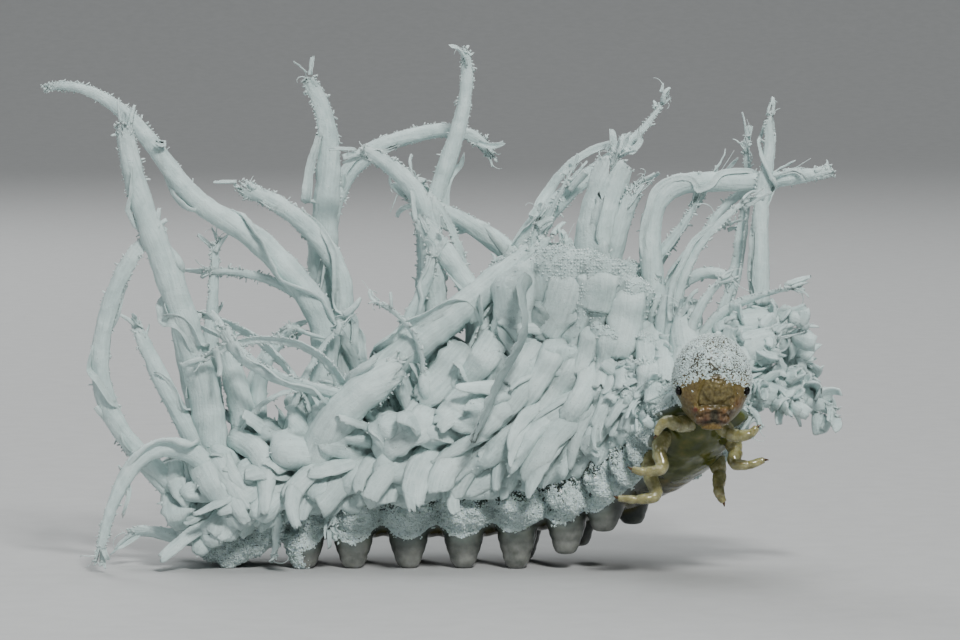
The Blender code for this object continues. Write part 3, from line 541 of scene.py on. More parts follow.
class Pile:
    """Gathers tufts of one coat piece, with what the material and the bake map need."""

    def __init__(self):
        self.rows = []
        self.count = 0

    def add(self, points, quads, tris, lay, tone, root_q, root_angle):
        """Adds tufts (tufts, points, 3) of equal make; lay and tone are given for each point."""
        tufts, each = points.shape[:2]
        root = np.clip(unwrap(np.broadcast_to(root_q, tufts), root_angle), MAP_EDGE, 1 - MAP_EDGE)
        patch = lay.reshape(tufts, each, 3)[..., :2]
        low = patch.min(1, keepdims=True)
        span = np.maximum(patch.max(1, keepdims=True) - low, 1e-6)
        uv = root[:, None] + ((patch - low) / span - 0.5) * TUFT_PATCH
        tone = np.broadcast_to(tone, (tufts, each)).reshape(-1)
        faces = quads + self.count, tris + self.count
        self.rows.append((points.reshape(-1, 3), *faces, lay.reshape(-1, 3), tone, uv.reshape(-1, 2)))
        self.count += tufts * each

    def piece(self, name, material, nodes=TRUNK_NODES):
        points, quads, tris, lay, tone, uv = (np.concatenate(column) for column in zip(*self.rows))
        points[:, 2] = np.maximum(points[:, 2], LOWEST_WAX)
        mesh_piece(name, points, quads, tris, material, "wax", nodes, uv=uv, lay=lay, tone=tone)


class Drape:
    """Gathers closed wax forms that melt into one surface, with the lay and tone of each."""

    def __init__(self):
        self.parts, self.rows = [], []

    def add(self, points, rings, sides, lay, tone):
        """Adds swept tubes (tubes, points, 3), with lay and tone for each point of their rings."""
        tubes = len(points)
        self.parts.append((points.reshape(-1, 3), *tube_faces(tubes, rings, sides)))
        body = points[:, :-2].reshape(tubes, rings, sides, 3)
        along = unit(np.gradient(body, axis=1))
        around = unit(np.roll(body, -1, 2) - np.roll(body, 1, 2))
        tone = np.broadcast_to(tone, body.shape[:3]).reshape(-1)
        self.rows.append((*(v.reshape(-1, 3) for v in (body, along, around, lay)), tone))

    def piece(self, name, material):
        """Makes the piece; returns its points, normals, tone with its painted shade, q and angle."""
        points, quads = remeshed(self.parts, DRAPE_VOXEL)
        points = soften(points, quads, 2)
        columns = [np.concatenate(column) for column in zip(*self.rows)]
        near_to = nearest(columns[0], points)
        source, along, around, lay, tone = (column[near_to] for column in columns)
        lay[:, 0] += ((points - source) * along).sum(-1)
        lay[:, 1] += ((points - source) * around).sum(-1)
        normals = vertex_normals(points, quads)
        # Tone is darkened in the hollows of the melted surface: painted shade.
        tone = tone * (1 - 0.8 * smoothstep(0.002, 0.04, hollowness(points, quads, normals, 9)))
        points = points + normals * (0.012 * ripple(points, 0.5, 51))[:, None]
        points[:, 2] = np.maximum(points[:, 2], LOWEST_WAX)
        q, angle, _ = locate(points)
        fields = {"uv": unwrap(q, angle), "lay": lay, "tone": tone}
        mesh_piece(name, points, quads, NO_TRIS, material, "wax", TRUNK_NODES, **fields)
        return points, normals, tone, q, angle


def nearest(source, points):
    """Index of the source point nearest to each point."""
    tree = KDTree(len(source))
    for index, point in enumerate(source.tolist()):
        tree.insert(point, index)
    tree.balance()
    return np.array([tree.find(point)[1] for point in points.tolist()])


def hollowness(points, quads, normals, rounds):
    """How far the softened surface lies over each point: more than 0 in a hollow."""
    return ((soften(points, quads, rounds) - points) * normals).sum(-1)


def signed_volume(points, quads, tris):
    """Six times the volume inside closed faces, less than 0 if they point in."""
    total = 0.0
    for faces in (tris, quads[:, :3], quads[:, (0, 2, 3)]):
        a, b, c = (points[faces[:, k]] for k in range(3))
        total += np.einsum("ij,ij->i", a, np.cross(b, c)).sum()
    return total


def facing_out(points, quads, tris):
    if signed_volume(points, quads, tris) < 0:
        quads, tris = quads[:, ::-1], tris[:, ::-1]
    return quads, tris


def mesh_piece(name, points, quads, tris, material, slot, nodes, uv=None, **attributes):
    """A piece made from arrays in millimetres, riding on the body and standing for its nodes."""
    quads, tris = facing_out(points, quads, tris)
    corners = np.concatenate([quads.ravel(), tris.ravel()]).astype(np.int32)
    starts = np.concatenate([np.arange(len(quads)) * 4, len(quads) * 4 + np.arange(len(tris)) * 3])
    mesh = bpy.data.meshes.new(name)
    mesh.vertices.add(len(points))
    mesh.vertices.foreach_set("co", ((points + SHIFT) * MM).astype(np.float32).ravel())
    mesh.loops.add(len(corners))
    mesh.loops.foreach_set("vertex_index", corners)
    mesh.polygons.add(len(starts))
    mesh.polygons.foreach_set("loop_start", starts.astype(np.int32))
    mesh.update(calc_edges=True)
    for key, values in attributes.items():
        add_attribute(mesh, key, np.asarray(values, np.float32))
    if uv is not None:
        layer = mesh.uv_layers.new(name="OFBake")
        layer.data.foreach_set("uv", uv[corners].astype(np.float32).ravel())
    mesh.shade_smooth()
    mesh.materials.append(material)
    obj = bpy.data.objects.new(name, mesh)
    bpy.context.scene.collection.objects.link(obj)
    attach(obj, "root")
    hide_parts(*nodes)


def add_attribute(mesh, key, values):
    """Gives each point a number, a vector of 3 or a colour of 4."""
    kinds = {1: ("FLOAT", "value"), 3: ("FLOAT_VECTOR", "vector"), 4: ("FLOAT_COLOR", "color")}
    kind, field = kinds[values.size // len(values)]
    mesh.attributes.new(key, kind, "POINT").data.foreach_set(field, values.ravel())


def joined(parts):
    """One set of points, quads and tris from many, with all faces pointing out."""
    rows, count = [], 0
    for points, quads, tris in parts:
        quads, tris = facing_out(points, quads, tris)
        rows.append((points, quads + count, tris + count))
        count += len(points)
    return (np.concatenate(column) for column in zip(*rows))


def remeshed(parts, voxel):
    """Points and quads of one closed surface round many closed parts."""
    points, quads, tris = joined(parts)
    mesh = bpy.data.meshes.new("remesh")
    mesh.from_pydata(points.tolist(), [], quads.tolist() + tris.tolist())
    obj = bpy.data.objects.new("remesh", mesh)
    bpy.context.scene.collection.objects.link(obj)
    modifier = obj.modifiers.new("remesh", "REMESH")
    modifier.mode = "VOXEL"
    modifier.voxel_size = voxel
    graph = bpy.context.evaluated_depsgraph_get()
    made = bpy.data.meshes.new_from_object(obj.evaluated_get(graph))
    out = np.empty(len(made.vertices) * 3, np.float32)
    made.vertices.foreach_get("co", out)
    corners = np.empty(len(made.loops), np.int32)
    made.loops.foreach_get("vertex_index", corners)
    bpy.data.objects.remove(obj)
    bpy.data.meshes.remove(made)
    bpy.data.meshes.remove(mesh)
    return out.reshape(-1, 3).astype(float), corners.reshape(-1, 4)


def soften(points, quads, rounds):
    """Points moved half way to the mean of their neighbours, to take off the voxels' steps."""
    a, b = np.concatenate([quads[:, (k, (k + 1) % 4)] for k in range(4)]).T
    size = len(points)
    count = np.bincount(a, minlength=size) + np.bincount(b, minlength=size)
    for _ in range(rounds):
        total = np.zeros_like(points)
        for k in range(3):
            total[:, k] = np.bincount(a, points[b, k], size) + np.bincount(b, points[a, k], size)
        points = points + (total / count[:, None] - points) * 0.5
    return points


def vertex_normals(points, quads):
    """Normal of each point, from the diagonals of the quads round it."""
    a, b, c, d = (points[quads[:, k]] for k in range(4))
    across = np.cross(c - a, d - b)
    total = np.zeros_like(points)
    for corner in range(4):
        for k in range(3):
            total[:, k] += np.bincount(quads[:, corner], across[:, k], len(points))
    return unit(total)


# Materials


class Finish:
    """A node material in the making: each method adds a node and gives its output."""

    def __init__(self, name):
        self.material = bpy.data.materials.new(name)
        self.material.use_nodes = True
        self.tree = self.material.node_tree
        self.where = self.node("ShaderNodeTexCoord").outputs["Object"]

    def fill(self, node, values):
        """Sets inputs of a node, and links those that are given as outputs of other nodes."""
        for key, value in values.items():
            if isinstance(value, bpy.types.NodeSocket):
                self.tree.links.new(value, node.inputs[key])
            else:
                node.inputs[key].default_value = value

    def node(self, kind, values=None, **settings):
        made = self.tree.nodes.new(kind)
        for key, value in settings.items():
            setattr(made, key, value)
        self.fill(made, values or {})
        return made

    def attribute(self, name, output="Fac"):
        return self.node("ShaderNodeAttribute", attribute_name=name).outputs[output]

    def maths(self, operation, *values):
        return self.node("ShaderNodeMath", dict(enumerate(values)), operation=operation).outputs[0]

    def ramp(self, factor, *stops):
        """Colours blended between stops of place and colour."""
        made = self.node("ShaderNodeValToRGB", {"Fac": factor})
        elements = made.color_ramp.elements
        while len(elements) < len(stops):
            elements.new(0.5)
        for element, (at, colour) in zip(elements, stops):
            element.position = at
            element.color = (*colour, 1.0)
        return made.outputs["Color"]

    def mix(self, factor, a, b, blend="MIX"):
        """Colour between a and b; the node's inputs 6 and 7 are its two colours."""
        a, b = (v if isinstance(v, bpy.types.NodeSocket) else (*v, 1.0) for v in (a, b))
        values = {0: factor, 6: a, 7: b}
        return self.node("ShaderNodeMix", values, data_type="RGBA", blend_type=blend).outputs[2]

    def noise(self, scale, detail=3.0, roughness=0.55, vector=None):
        vector = self.where if vector is None else vector
        values = {"Vector": vector, "Scale": scale, "Detail": detail, "Roughness": roughness}
        return self.node("ShaderNodeTexNoise", values).outputs["Fac"]

    def cells(self, scale):
        """Distance from the middle of round cells."""
        values = {"Vector": self.where, "Scale": scale, "Randomness": 1.0}
        return self.node("ShaderNodeTexVoronoi", values).outputs["Distance"]

    def bumps(self, *layers):
        """Normal of bumps laid on one another: height, strength and distance of each."""
        values = {}
        for height, strength, distance in layers:
            values.update({"Height": height, "Strength": strength, "Distance": distance})
            values["Normal"] = self.node("ShaderNodeBump", values).outputs["Normal"]
        return values["Normal"]

    def finish(self, values):
        """Gives the shader its inputs, and returns the material."""
        self.fill(self.tree.nodes["Principled BSDF"], values)
        return self.material


def wax_material(name, dark, light, fibre_depth, glow):
    """Matt fibrous wax: faint lines along the lay, powder grain, specks and cool cloudy white, darkened by
    tone, which carries painted shade.
    """
    made = Finish(name)
    lay = made.attribute("lay", "Vector")
    broad = made.node("ShaderNodeMapping", {"Vector": lay, "Scale": (0.5, 7.0, 1.0)}).outputs[0]
    narrow = made.node("ShaderNodeMapping", {"Vector": lay, "Scale": (1.2, 22.0, 1.0)}).outputs[0]
    fibre = made.noise(1.6, 4.0, 0.6, broad)
    hair = made.noise(1.5, 2.0, vector=narrow)
    grain = made.noise(16000.0, 2.0, 0.6)
    cloud = made.noise(900.0)
    dent = made.noise(3200.0, 4.0, 0.65)
    shade = made.maths("MULTIPLY_ADD", fibre, 0.35, made.maths("MULTIPLY", cloud, 0.4))
    shade = made.maths("ADD", shade, made.maths("MULTIPLY", dent, 0.25))
    colour = made.ramp(shade, (0.38, dark), (0.58, light))
    spot = made.maths("LESS_THAN", made.cells(9000.0), 0.16)
    speck = made.maths("MULTIPLY", spot, made.maths("GREATER_THAN", dent, 0.56))
    colour = made.mix(made.maths("MULTIPLY", speck, 0.45), colour, (0.2, 0.25, 0.24))
    # Tone darkens the wax towards blue-grey: random tone of the pieces, and painted shade where they set it
    # low.
    colour = made.mix(made.attribute("tone"), (0.14, 0.19, 0.185), colour)
    values = {
        "Base Color": colour,
        "Roughness": made.maths("MULTIPLY_ADD", grain, 0.3, 0.68),
        "Subsurface Weight": glow,
        "Subsurface Radius": (1.0, 1.05, 1.15),
        "Subsurface Scale": 0.00025,
        "Specular IOR Level": 0.22,
        "Normal": made.bumps(
            (fibre, 0.5, fibre_depth),
            (dent, 0.45, 0.00009),
            (hair, 0.3, fibre_depth * 0.4),
            (grain, 0.6, 0.00003),
        ),
    }
    return made.finish(values)


def grains(made, border):
    """Mask of white grains: dense where the wax field is near 1, and sparse in hollows."""
    grain = made.cells(15000.0)
    wide = made.maths("ADD", made.noise(1500.0), 0.34)
    # Fewer white grains where the hollow field is high; on the skin this darkens its hollows as painted
    # shade.
    wide = made.maths("SUBTRACT", wide, made.maths("MULTIPLY", made.attribute("hollow"), 0.5))
    edge = made.maths("ADD", made.noise(border, 4.0, 0.7), -1.0)
    keep = made.maths("MULTIPLY_ADD", made.attribute("wax"), 1.6, edge)
    white = made.maths("LESS_THAN", grain, wide)
    white = made.maths("MULTIPLY", white, made.maths("GREATER_THAN", keep, 0.3))
    relief = made.maths("MULTIPLY", white, made.maths("SUBTRACT", 1.5, grain))
    powder = made.ramp(made.noise(7000.0), (0.3, (0.5, 0.61, 0.6)), (0.68, (0.7, 0.83, 0.815)))
    return white, (relief, 0.8, 0.00004), powder


def skin_material():
    """White grains of wax on the lobes, over olive flesh, with hollows darkened as painted shade."""
    made = Finish("skin_wax_and_flesh")
    white, relief, powder = grains(made, 5200.0)
    mottle = made.noise(2300.0, 4.0)
    belly = (0.32, (0.025, 0.028, 0.01)), (0.6, (0.075, 0.068, 0.02)), (0.75, (0.13, 0.08, 0.02))
    flesh = made.ramp(mottle, *belly)
    for field, *stops in FLESH_COLOURS:
        flesh = made.mix(made.attribute(field), flesh, made.ramp(mottle, *stops))
    # The bed under the wax is darker in hollows: painted shade.
    shaded_bed = made.mix(made.attribute("hollow"), (0.16, 0.2, 0.195), (0.04, 0.054, 0.046))
    flesh = made.mix(made.attribute("under_wax"), flesh, shaded_bed)
    values = {
        "Base Color": made.mix(white, flesh, powder),
        "Roughness": made.maths("MULTIPLY_ADD", white, 0.5, 0.2),
        "Subsurface Weight": 0.3,
        "Subsurface Radius": (1.0, 0.95, 0.6),
        "Subsurface Scale": 0.0003,
        "Normal": made.bumps(relief, (made.noise(9000.0, 2.0), 0.12, 0.00002)),
    }
    return made.finish(values)


def tinted_material(name, grain, roughness, wet, glow, powdered=False):
    """Colour from the tint given to each point, with fine mottling and, if asked, wax grains."""
    made = Finish(name)
    speck = made.noise(grain, 4.0, 0.65)
    tint = made.attribute("tint", "Color")
    low = made.mix(1.0, tint, (0.62, 0.58, 0.5), "MULTIPLY")
    high = made.mix(0.1, tint, (0.8, 0.76, 0.5))
    factor = made.node("ShaderNodeMapRange", {"Value": speck, "From Min": 0.3, "From Max": 0.72}).outputs[0]
    layers = [(speck, 0.5, 0.00002)]
    values = {
        "Base Color": made.mix(factor, low, high),
        "Roughness": made.maths("MULTIPLY_ADD", speck, 0.3, roughness),
        "Coat Weight": wet,
        "Coat Roughness": 0.12,
        "Subsurface Weight": glow,
        "Subsurface Radius": (1.0, 0.7, 0.3),
        "Subsurface Scale": 0.0004,
    }
    if powdered:
        white, relief, powder = grains(made, 11000.0)
        matt = made.maths("MAXIMUM", white, made.attribute("dull"))
        bare = made.maths("SUBTRACT", 1.0, matt)
        layers.append(relief)
        values["Base Color"] = made.mix(white, values["Base Color"], powder)
        values["Roughness"] = made.maths("ADD", values["Roughness"], made.maths("MULTIPLY", matt, 0.5))
        values["Coat Weight"] = made.maths("MULTIPLY", bare, wet)
        values["Specular IOR Level"] = 0.3
    values["Normal"] = made.bumps(*layers)
    return made.finish(values)


def shell_material(name, colour, roughness, specular):
    """Dark glossy shell with a faint mottling."""
    made = Finish(name)
    speck = made.noise(9000.0)
    lighter = tuple(2.2 * c for c in colour)
    values = {
        "Base Color": made.ramp(speck, (0.35, colour), (0.7, lighter)),
        "Roughness": roughness,
        "Specular IOR Level": specular,
        "Normal": made.bumps((speck, 0.2, 0.000004)),
    }
    return made.finish(values)


def floor_material():
    made = Finish("floor_pale")
    colour = made.ramp(made.noise(900.0), (0.3, (0.42, 0.43, 0.43)), (0.7, (0.45, 0.46, 0.46)))
    return made.finish({"Base Color": colour, "Roughness": 0.8})


# Skin


def trunk_part():
    """Closed grid of the bare trunk: to each segment a plump side lobe, folds and ridges."""
    qq, aa = trunk_grid(0.0, 12.95, 420, 120)
    steep = np.abs(aa)
    where = stacked(qq * 1.8, aa / 30, np.sign(aa))
    sheet = qq + 0.05 * ripple(where, 1.2, 6, 2)
    ring = np.abs(np.sin(np.pi * sheet)) ** 0.5
    lobe = bell(steep, 112.0, 19.0)
    ridge = bell(steep, 92.0, 14.0)
    clump = np.abs(ripple(where, 0.75, 5, 2))
    grow = -0.1 + lobe * (0.32 * ring - 0.06) - 0.3 * (1 - ring) * (lobe + 0.15)
    grow += (lobe + ridge) * (0.13 * clump - 0.05)
    grow += ridge * 0.11 * np.sin(2 * np.pi * 2.5 * sheet + 2 * ripple(where, 1.5, 7, 2))
    grow += 0.05 * np.abs(np.sin(3 * np.pi * qq)) * (1 - lobe) * smoothstep(1.5, 4.0, qq)
    grow += 0.03 * ripple(where, 0.9, 9) * smoothstep(4.0, 2.0, qq)
    points = surface(qq, aa, grow * smoothstep(13.0, 12.3, qq), BARE_HEIGHT)
    neck = centre(np.zeros(1))[0]
    first = points[0]
    for step, scale in ((1, 1.0), (2, 0.9), (3, 0.68), (4, 0.34)):
        moved = neck + (first - neck) * scale + (HEAD_CENTRE - neck) * (0.2 * step)
        points = np.concatenate([moved[None], points])
    return with_poles(points), *tube_faces(1, *points.shape[:2])


def proleg_part(segment, reach, side):
    """One proleg with ring creases and a flat sole."""
    q = np.array(3 + segment - 0.5)
    scale = LAST_PROLEG_SCALE if segment == 10 else 1.0
    _, _, left = axes(q)
    middle = centre(q)
    root = middle + left * (side * PROLEG_SPREAD * scale)
    root[2] = surface(q, side * 150)[2] + 0.35 * scale
    foot = middle + left * (side * (PROLEG_SPREAD + PROLEG_SPLAY) * scale)
    foot[2] = reach
    rings, sides = 48, 32
    t = np.linspace(0, 1, rings)
    width = np.interp(t, (0, 0.4, 0.62, 0.8, 0.93, 1.0), (1.16, 1.04, 0.86, 0.72, 0.62, 0.4))
    crease = 0.12 * np.abs(np.sin(np.pi * t * 4.5)) ** 0.4 - 0.09
    radius = PROLEG_RADIUS * scale * (width + crease * (t < 0.9))
    a = ring_angles(sides)
    path = root + (foot - root) * t[:, None]
    around = stacked(np.cos(a), np.sin(a), 0.0)
    points = (path[:, None] + around[None] * radius[:, None, None]).reshape(-1, 3)
    return np.concatenate([points, root[None], foot[None]]), *tube_faces(1, rings, sides)


def locate(points, batch=20000):
    """Nearest q and angle for points, and their distance from the middle line."""
    q = np.linspace(0, TAIL_END, 520)
    line = centre(q)
    found = np.empty(len(points), int)
    for start in range(0, len(points), batch):
        part = points[start : start + batch]
        found[start : start + batch] = ((part[:, None] - line[None]) ** 2).sum(-1).argmin(1)
    _, up, left = axes(q)
    away = points - line[found]
    x = (away * left[found]).sum(-1)
    z = (away * up[found]).sum(-1)
    return q[found], np.degrees(np.arctan2(x, z)), np.hypot(x, z)


def make_skin():
    """One closed skin of trunk and prolegs, with fields for wax, hollows that get painted shade, stubs and
    tips.
    """
    parts = [trunk_part()]
    parts += [proleg_part(segment, reach, side) for segment, reach in PROLEGS for _, side in SIDES]
    parts += [ball_part((x, side * y, z), half) for x, y, z, half in TAIL_LOBES for _, side in SIDES]
    points, quads = remeshed(parts, SKIN_VOXEL)
    points = soften(points, quads, 2)
    normals = vertex_normals(points, quads)
    q, angle, away = locate(points)
    steep = np.abs(angle)
    # Hollows of the skin, to which a zigzag recess under the ends of the tongues is added below; the material
    # darkens them as painted shade.
    hollow = smoothstep(0.004, 0.045, hollowness(points, quads, normals, 8))
    bare = 129.0 - 24 * smoothstep(2.8, 0.6, q)
    below = away - girth(q, DEPTH) * 1.02
    stub = smoothstep(-0.1, 0.25, below) * smoothstep(120, 140, steep)
    wax = smoothstep(bare + 7, bare - 5, steep) * (1 - 0.9 * stub)
    wax = np.maximum(wax, smoothstep(10.5, 11.2, q) * smoothstep(178, 150, steep))
    zigzag = np.abs((q * 2.5 + 0.3 * ripple(points, 1.5, 13, 1)) % 1 - 0.5) * 4 - 1
    recess = bell(steep - 6 * zigzag, 89.0, 6.0) * smoothstep(2.4, 3.6, q) * smoothstep(11.6, 11.0, q)
    hollow = np.clip(np.maximum(hollow, recess), 0, 1) * (1 - 0.65 * smoothstep(10.6, 11.4, q))
    rough = 0.014 * ripple(points, 0.16, 8, 2) * wax
    points = points + normals * rough[:, None]
    points[:, 2] = np.maximum(points[:, 2], 0.0)
    fields = {
        "wax": wax,
        "hollow": hollow,
        "stub": stub,
        "tip": smoothstep(0.25, 1.0, below) * stub,
        "throat": smoothstep(3.2, 2.4, q),
        "under_wax": smoothstep(bare + 14, bare - 2, steep) * (1 - stub),
    }
    nodes = TRUNK_NODES + PROLEG_NODES
    mesh_piece("skin", points, quads, NO_TRIS, skin_material(), "flesh", nodes, **fields)
    return points, normals, wax * (1 - 0.7 * hollow), q, angle


# Wax


def mound(drape):
    """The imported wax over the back, lumpy like torn wadding."""
    rings, sides = 200, 90
    qq, aa = trunk_grid(0.35, 12.7, rings, sides)
    lump = ripple(surface(qq, aa), 1.3, 21)
    side = smoothstep(98, 82, np.abs(aa))
    points = surface(qq, aa, (-0.2 + 0.14 * lump) * side - 0.5 * (1 - side))
    shrink = smoothstep(0.35, 0.9, qq) * smoothstep(12.7, 12.2, qq)
    points = centre(qq) + (points - centre(qq)) * (0.55 + 0.45 * shrink)[..., None]
    lay = stacked(qq * 1.7, aa / 30, 7.0)
    # The mound's tone is lower than that of the sheets, and lower still in the dips between its lumps:
    # painted shade in the gaps between the sheets over it.
    drape.add(with_poles(points)[None], rings, sides, lay, 0.75 + 0.15 * np.clip(lump, -1, 1)[None])


def eased(count):
    """Shares from 0 to 1 whose steps shorten towards the end."""
    return 1 - (1 - np.linspace(0, 1, count)) ** 1.5


def flank_paths(rng, side, rings, shift, raised):
    """Paths down one flank that overlap like shingles, with their q, angle, length and width."""
    rows = []
    for number, row in enumerate(TONGUE_ROWS):
        step = row[4]
        for q in np.arange(0.42 + step * (number % 2 / 2 + shift), 12.8, step):
            rows.append((q + rng.uniform(-0.12, 0.12), *row[:4], *row[5], *row[6]))
    rows = np.array(rows)
    q = np.clip(rows[:, 0], 0.3, 12.8)
    count = len(q)
    front = smoothstep(3.0, 1.4, q)
    length = rows[:, 2] + (rows[:, 3] - rows[:, 2]) * np.clip((q - 4) / 8, 0, 1)
    length *= rng.uniform(0.78, 1.12, count) * (1 - 0.5 * front)
    width = rows[:, 4] * rng.uniform(0.75, 1.25, count) * np.interp(q, *TONGUE_WIDTH)
    angle = side * (rows[:, 1] + rng.uniform(-5, 5, count))
    ahead, up, _ = axes(q)
    out = outward(q, angle)
    t = eased(rings)
    sway = rng.uniform(-0.3, 0.3, count) * (1 + front)
    lift = rng.uniform(-0.1, 0.35, count) + 0.35 * front
    start, end = rows[:, 5:8], rows[:, 8:11]
    bend = start[:, None] + (end - start)[:, None] * (t[None, :, None] ** 0.8)
    way = out[:, None] * (bend[..., :1] + lift[:, None, None] * t[None, :, None])
    way = way - ahead[:, None] * (bend[..., 1:2] + sway[:, None, None] * t[None, :, None])
    way = unit(way - up[:, None] * bend[..., 2:3])
    start = surface(q, angle)[:, None] + out[:, None] * raised
    steps = np.diff(t, prepend=0.0) * (length[:, None] + 0.4)
    path = start + np.cumsum(way * steps[..., None], 1)
    low = np.abs(locate(path.reshape(-1, 3))[1]).reshape(count, rings) > LOBE_TOP
    share = np.where(low.any(1), t[np.maximum(low.argmax(1), 4)], 1.0)
    return q, angle, length * share, width, start + (path - start) * share[:, None, None], way


def tube_lay(rng, t, length, width, sides):
    """Lay of flat tubes: along each, round each, and each one's place in the pattern."""
    along = (t[None] * length[:, None])[..., None]
    around = ring_angles(sides, 0.5) * width[:, None, None] / 2
    return stacked(along, around, rng.uniform(0, LAY_RANGE, len(length))[:, None, None])


def tongues(drape, side):
    """Plump folded tongues down one flank; returns their tips."""
    rng = np.random.default_rng(SEED + side)
    rings, sides = 18, 20
    q, angle, length, width, path, way = flank_paths(rng, side, rings, 0.0, -0.45)
    count = len(q)
    t = eased(rings)
    blunt = blunt_end(t, 0.2, 2.2, 0.01)
    point = np.interp(q, *TONGUE_POINT) * rng.uniform(0.5, 1.3, count)
    half = width[:, None] / 2 * blunt[None] * (1.04 - point[:, None] * smoothstep(0.25, 1.0, t)[None])
    thick = np.minimum(half * rng.uniform(0.4, 0.6, count)[:, None], 0.24) * blunt[None] + 0.05
    points = folded_tubes(rng, path, outward(q, angle) - axes(q)[0] * 0.01, half, thick, sides, 0.05)
    lay = tube_lay(rng, t, length, width, sides)
    # Random tone, darker towards the root, where the tongue lies under the wax and the tongues above it:
    # painted shade.
    tone = rng.uniform(0.8, 1.0, count)[:, None, None] * (0.6 + 0.4 * smoothstep(0.0, 0.45, t))[None, :, None]
    drape.add(points, rings, sides, lay, tone)
    return path[:, -1], way[:, -1], q, angle


def shingles(word, side, material):
    """Thin arched sheets with torn edges that lie over the tongues of one flank."""
    rng = np.random.default_rng(SEED + 90 + side)
    pile = Pile()
    q, angle, length, width, paths, _ = flank_paths(rng, side, 16, 0.25, 0.02)
    point = np.interp(q, *TONGUE_POINT)
    outs = outward(q, angle)
    for k, path in enumerate(paths):
        start = path[:1] + outs[k] * rng.uniform(-0.15, 0.15)
        line = start + (path - path[:1]) * rng.uniform(0.6, 1.12)
        sway = unit(np.cross(outs[k], line[-1] - line[0])) * rng.normal(0, 0.22)
        line = line + sway * np.linspace(0, 1, len(line))[:, None] ** 2 * length[k]
        if rng.uniform() < 0.2:
            continue
        wide = width[k] * rng.uniform(0.4, 1.15)
        tip_share = np.clip(rng.uniform(0.5, 1.1) - point[k], 0.1, 1.0)
        curled_sheet(
            pile, rng, (q[k], angle[k]), line, wide, tip_share, rng.uniform(40, 115), rng.uniform(-20, 20),
            sheet=0.06, columns=9, tone=rng.uniform(0.78, 1.0), normal=outs[k], wobble=8,
        )
    pile.piece(f"wax_shingles_{word}", material)


def inside(line):
    """Whether all points of lines (..., points, 3) are well inside the box of the solids."""
    return ((line > INSIDE_LOW) & (line < INSIDE_HIGH)).all((-2, -1))


def fringes(edges, material):
    """Small ribbons that curl off the torn ends of the sheets."""
    rng = np.random.default_rng(SEED + 95)
    pile = Pile()
    steps = 12
    for edge in edges:
        tip = unit(edge.path[-1] - edge.path[-4])
        for _ in range(4):
            start = edge.path[-int(rng.integers(1, 7))] + rng.normal(0, 0.1, 3)
            way = unit(tip + rng.normal(0, 0.35, 3))
            axis = unit(rng.normal(size=3))
            turns = rng.uniform(-2.6, 2.6) / steps * (0.3 + np.arange(steps) / steps)
            line = curling_line(start, way, axis, turns, rng.uniform(0.3, 1.1) / steps)
            if inside(line):
                curled_sheet(
                    pile, rng, (edge.q, edge.angle), line, rng.uniform(0.1, 0.28), rng.uniform(0.4, 1.0),
                    rng.uniform(60, 200), rng.uniform(0, 360), sheet=0.035, columns=5, tone=0.95,
                )
    pile.piece("wax_fringes", material)


def folded_tubes(rng, path, normals, half, thick, sides, rough):
    """Flat tubes of given half widths and thicknesses, with two folds along the top of each."""
    count, rings = half.shape
    a = ring_angles(sides, 0.5)
    across = np.sign(np.cos(a)) * np.abs(np.cos(a)) ** 0.85
    x = across * half[..., None]
    y = np.sin(a) * thick[..., None]
    top = np.clip(np.sin(a) * 1.5, 0, 1)
    deep = smoothstep(0.05, 0.4, np.linspace(0, 1, rings))[None, :, None]
    for _ in range(2):
        dip = bell(across, rng.uniform(-0.8, 0.8, count)[:, None, None], 0.2)
        y = y - top * dip * deep * thick[..., None] * rng.uniform(0.1, 0.8, count)[:, None, None]
    y = y - across**2 * half[..., None] * rng.uniform(-0.1, 0.4, count)[:, None, None]
    points = sweep(path, normals, x, y)
    body = points[:, :-2].reshape(count, rings, sides, 3)
    body = body + (ripple(body, 0.9, 31) * rough)[..., None] * unit(body - path[:, :, None])
    return np.concatenate([body.reshape(count, -1, 3), points[:, -2:]], 1)


def plates(drape):
    """Broad upright sheets that stand packed over the front of the back; returns their tips."""
    rng = np.random.default_rng(SEED + 15)
    rings, sides, chips = 22, 22, 14
    t = np.linspace(0, 1, rings)
    blunt = blunt_end(t, 0.14, 2.4, 0.02)
    tips = []
    for q, angle, length, width, turns, leans in PLATES:
        fine = filament_path(q, angle, length, turns, leans)
        at = t * (len(fine) - 1)
        path = stacked(*(np.interp(at, np.arange(len(fine)), fine[:, k]) for k in range(3)))
        half = (width / 2 * (1.05 - 0.25 * t) * blunt)[None]
        thick = (0.2 * blunt + 0.05)[None]
        normal = np.array([[rng.uniform(-0.3, 0.3), -1.0 if angle < 20 else 1.0, 0.1]])
        points = folded_tubes(rng, path[None], normal, half, thick, sides, 0.07)
        lay = tube_lay(rng, t, np.array([length]), np.array([width]), sides)
        drape.add(points, rings, sides, lay, rng.uniform(0.86, 1.0))
        spread = rng.uniform(-0.4, 0.4, (chips, 1)) * width * np.array((1.0, 0.0, 0.0))
        way = unit(path[-1] - path[-3])
        seeds = path[-1] + spread - way * 0.05
        tips.append((seeds, np.tile(way, (chips, 1)), np.full(chips, q), np.full(chips, angle)))
    return tips


def heading(turn, lean):
    turn, lean = np.radians(turn), np.radians(lean)
    return stacked(np.cos(turn) * np.cos(lean), np.sin(lean), np.sin(turn) * np.cos(lean))


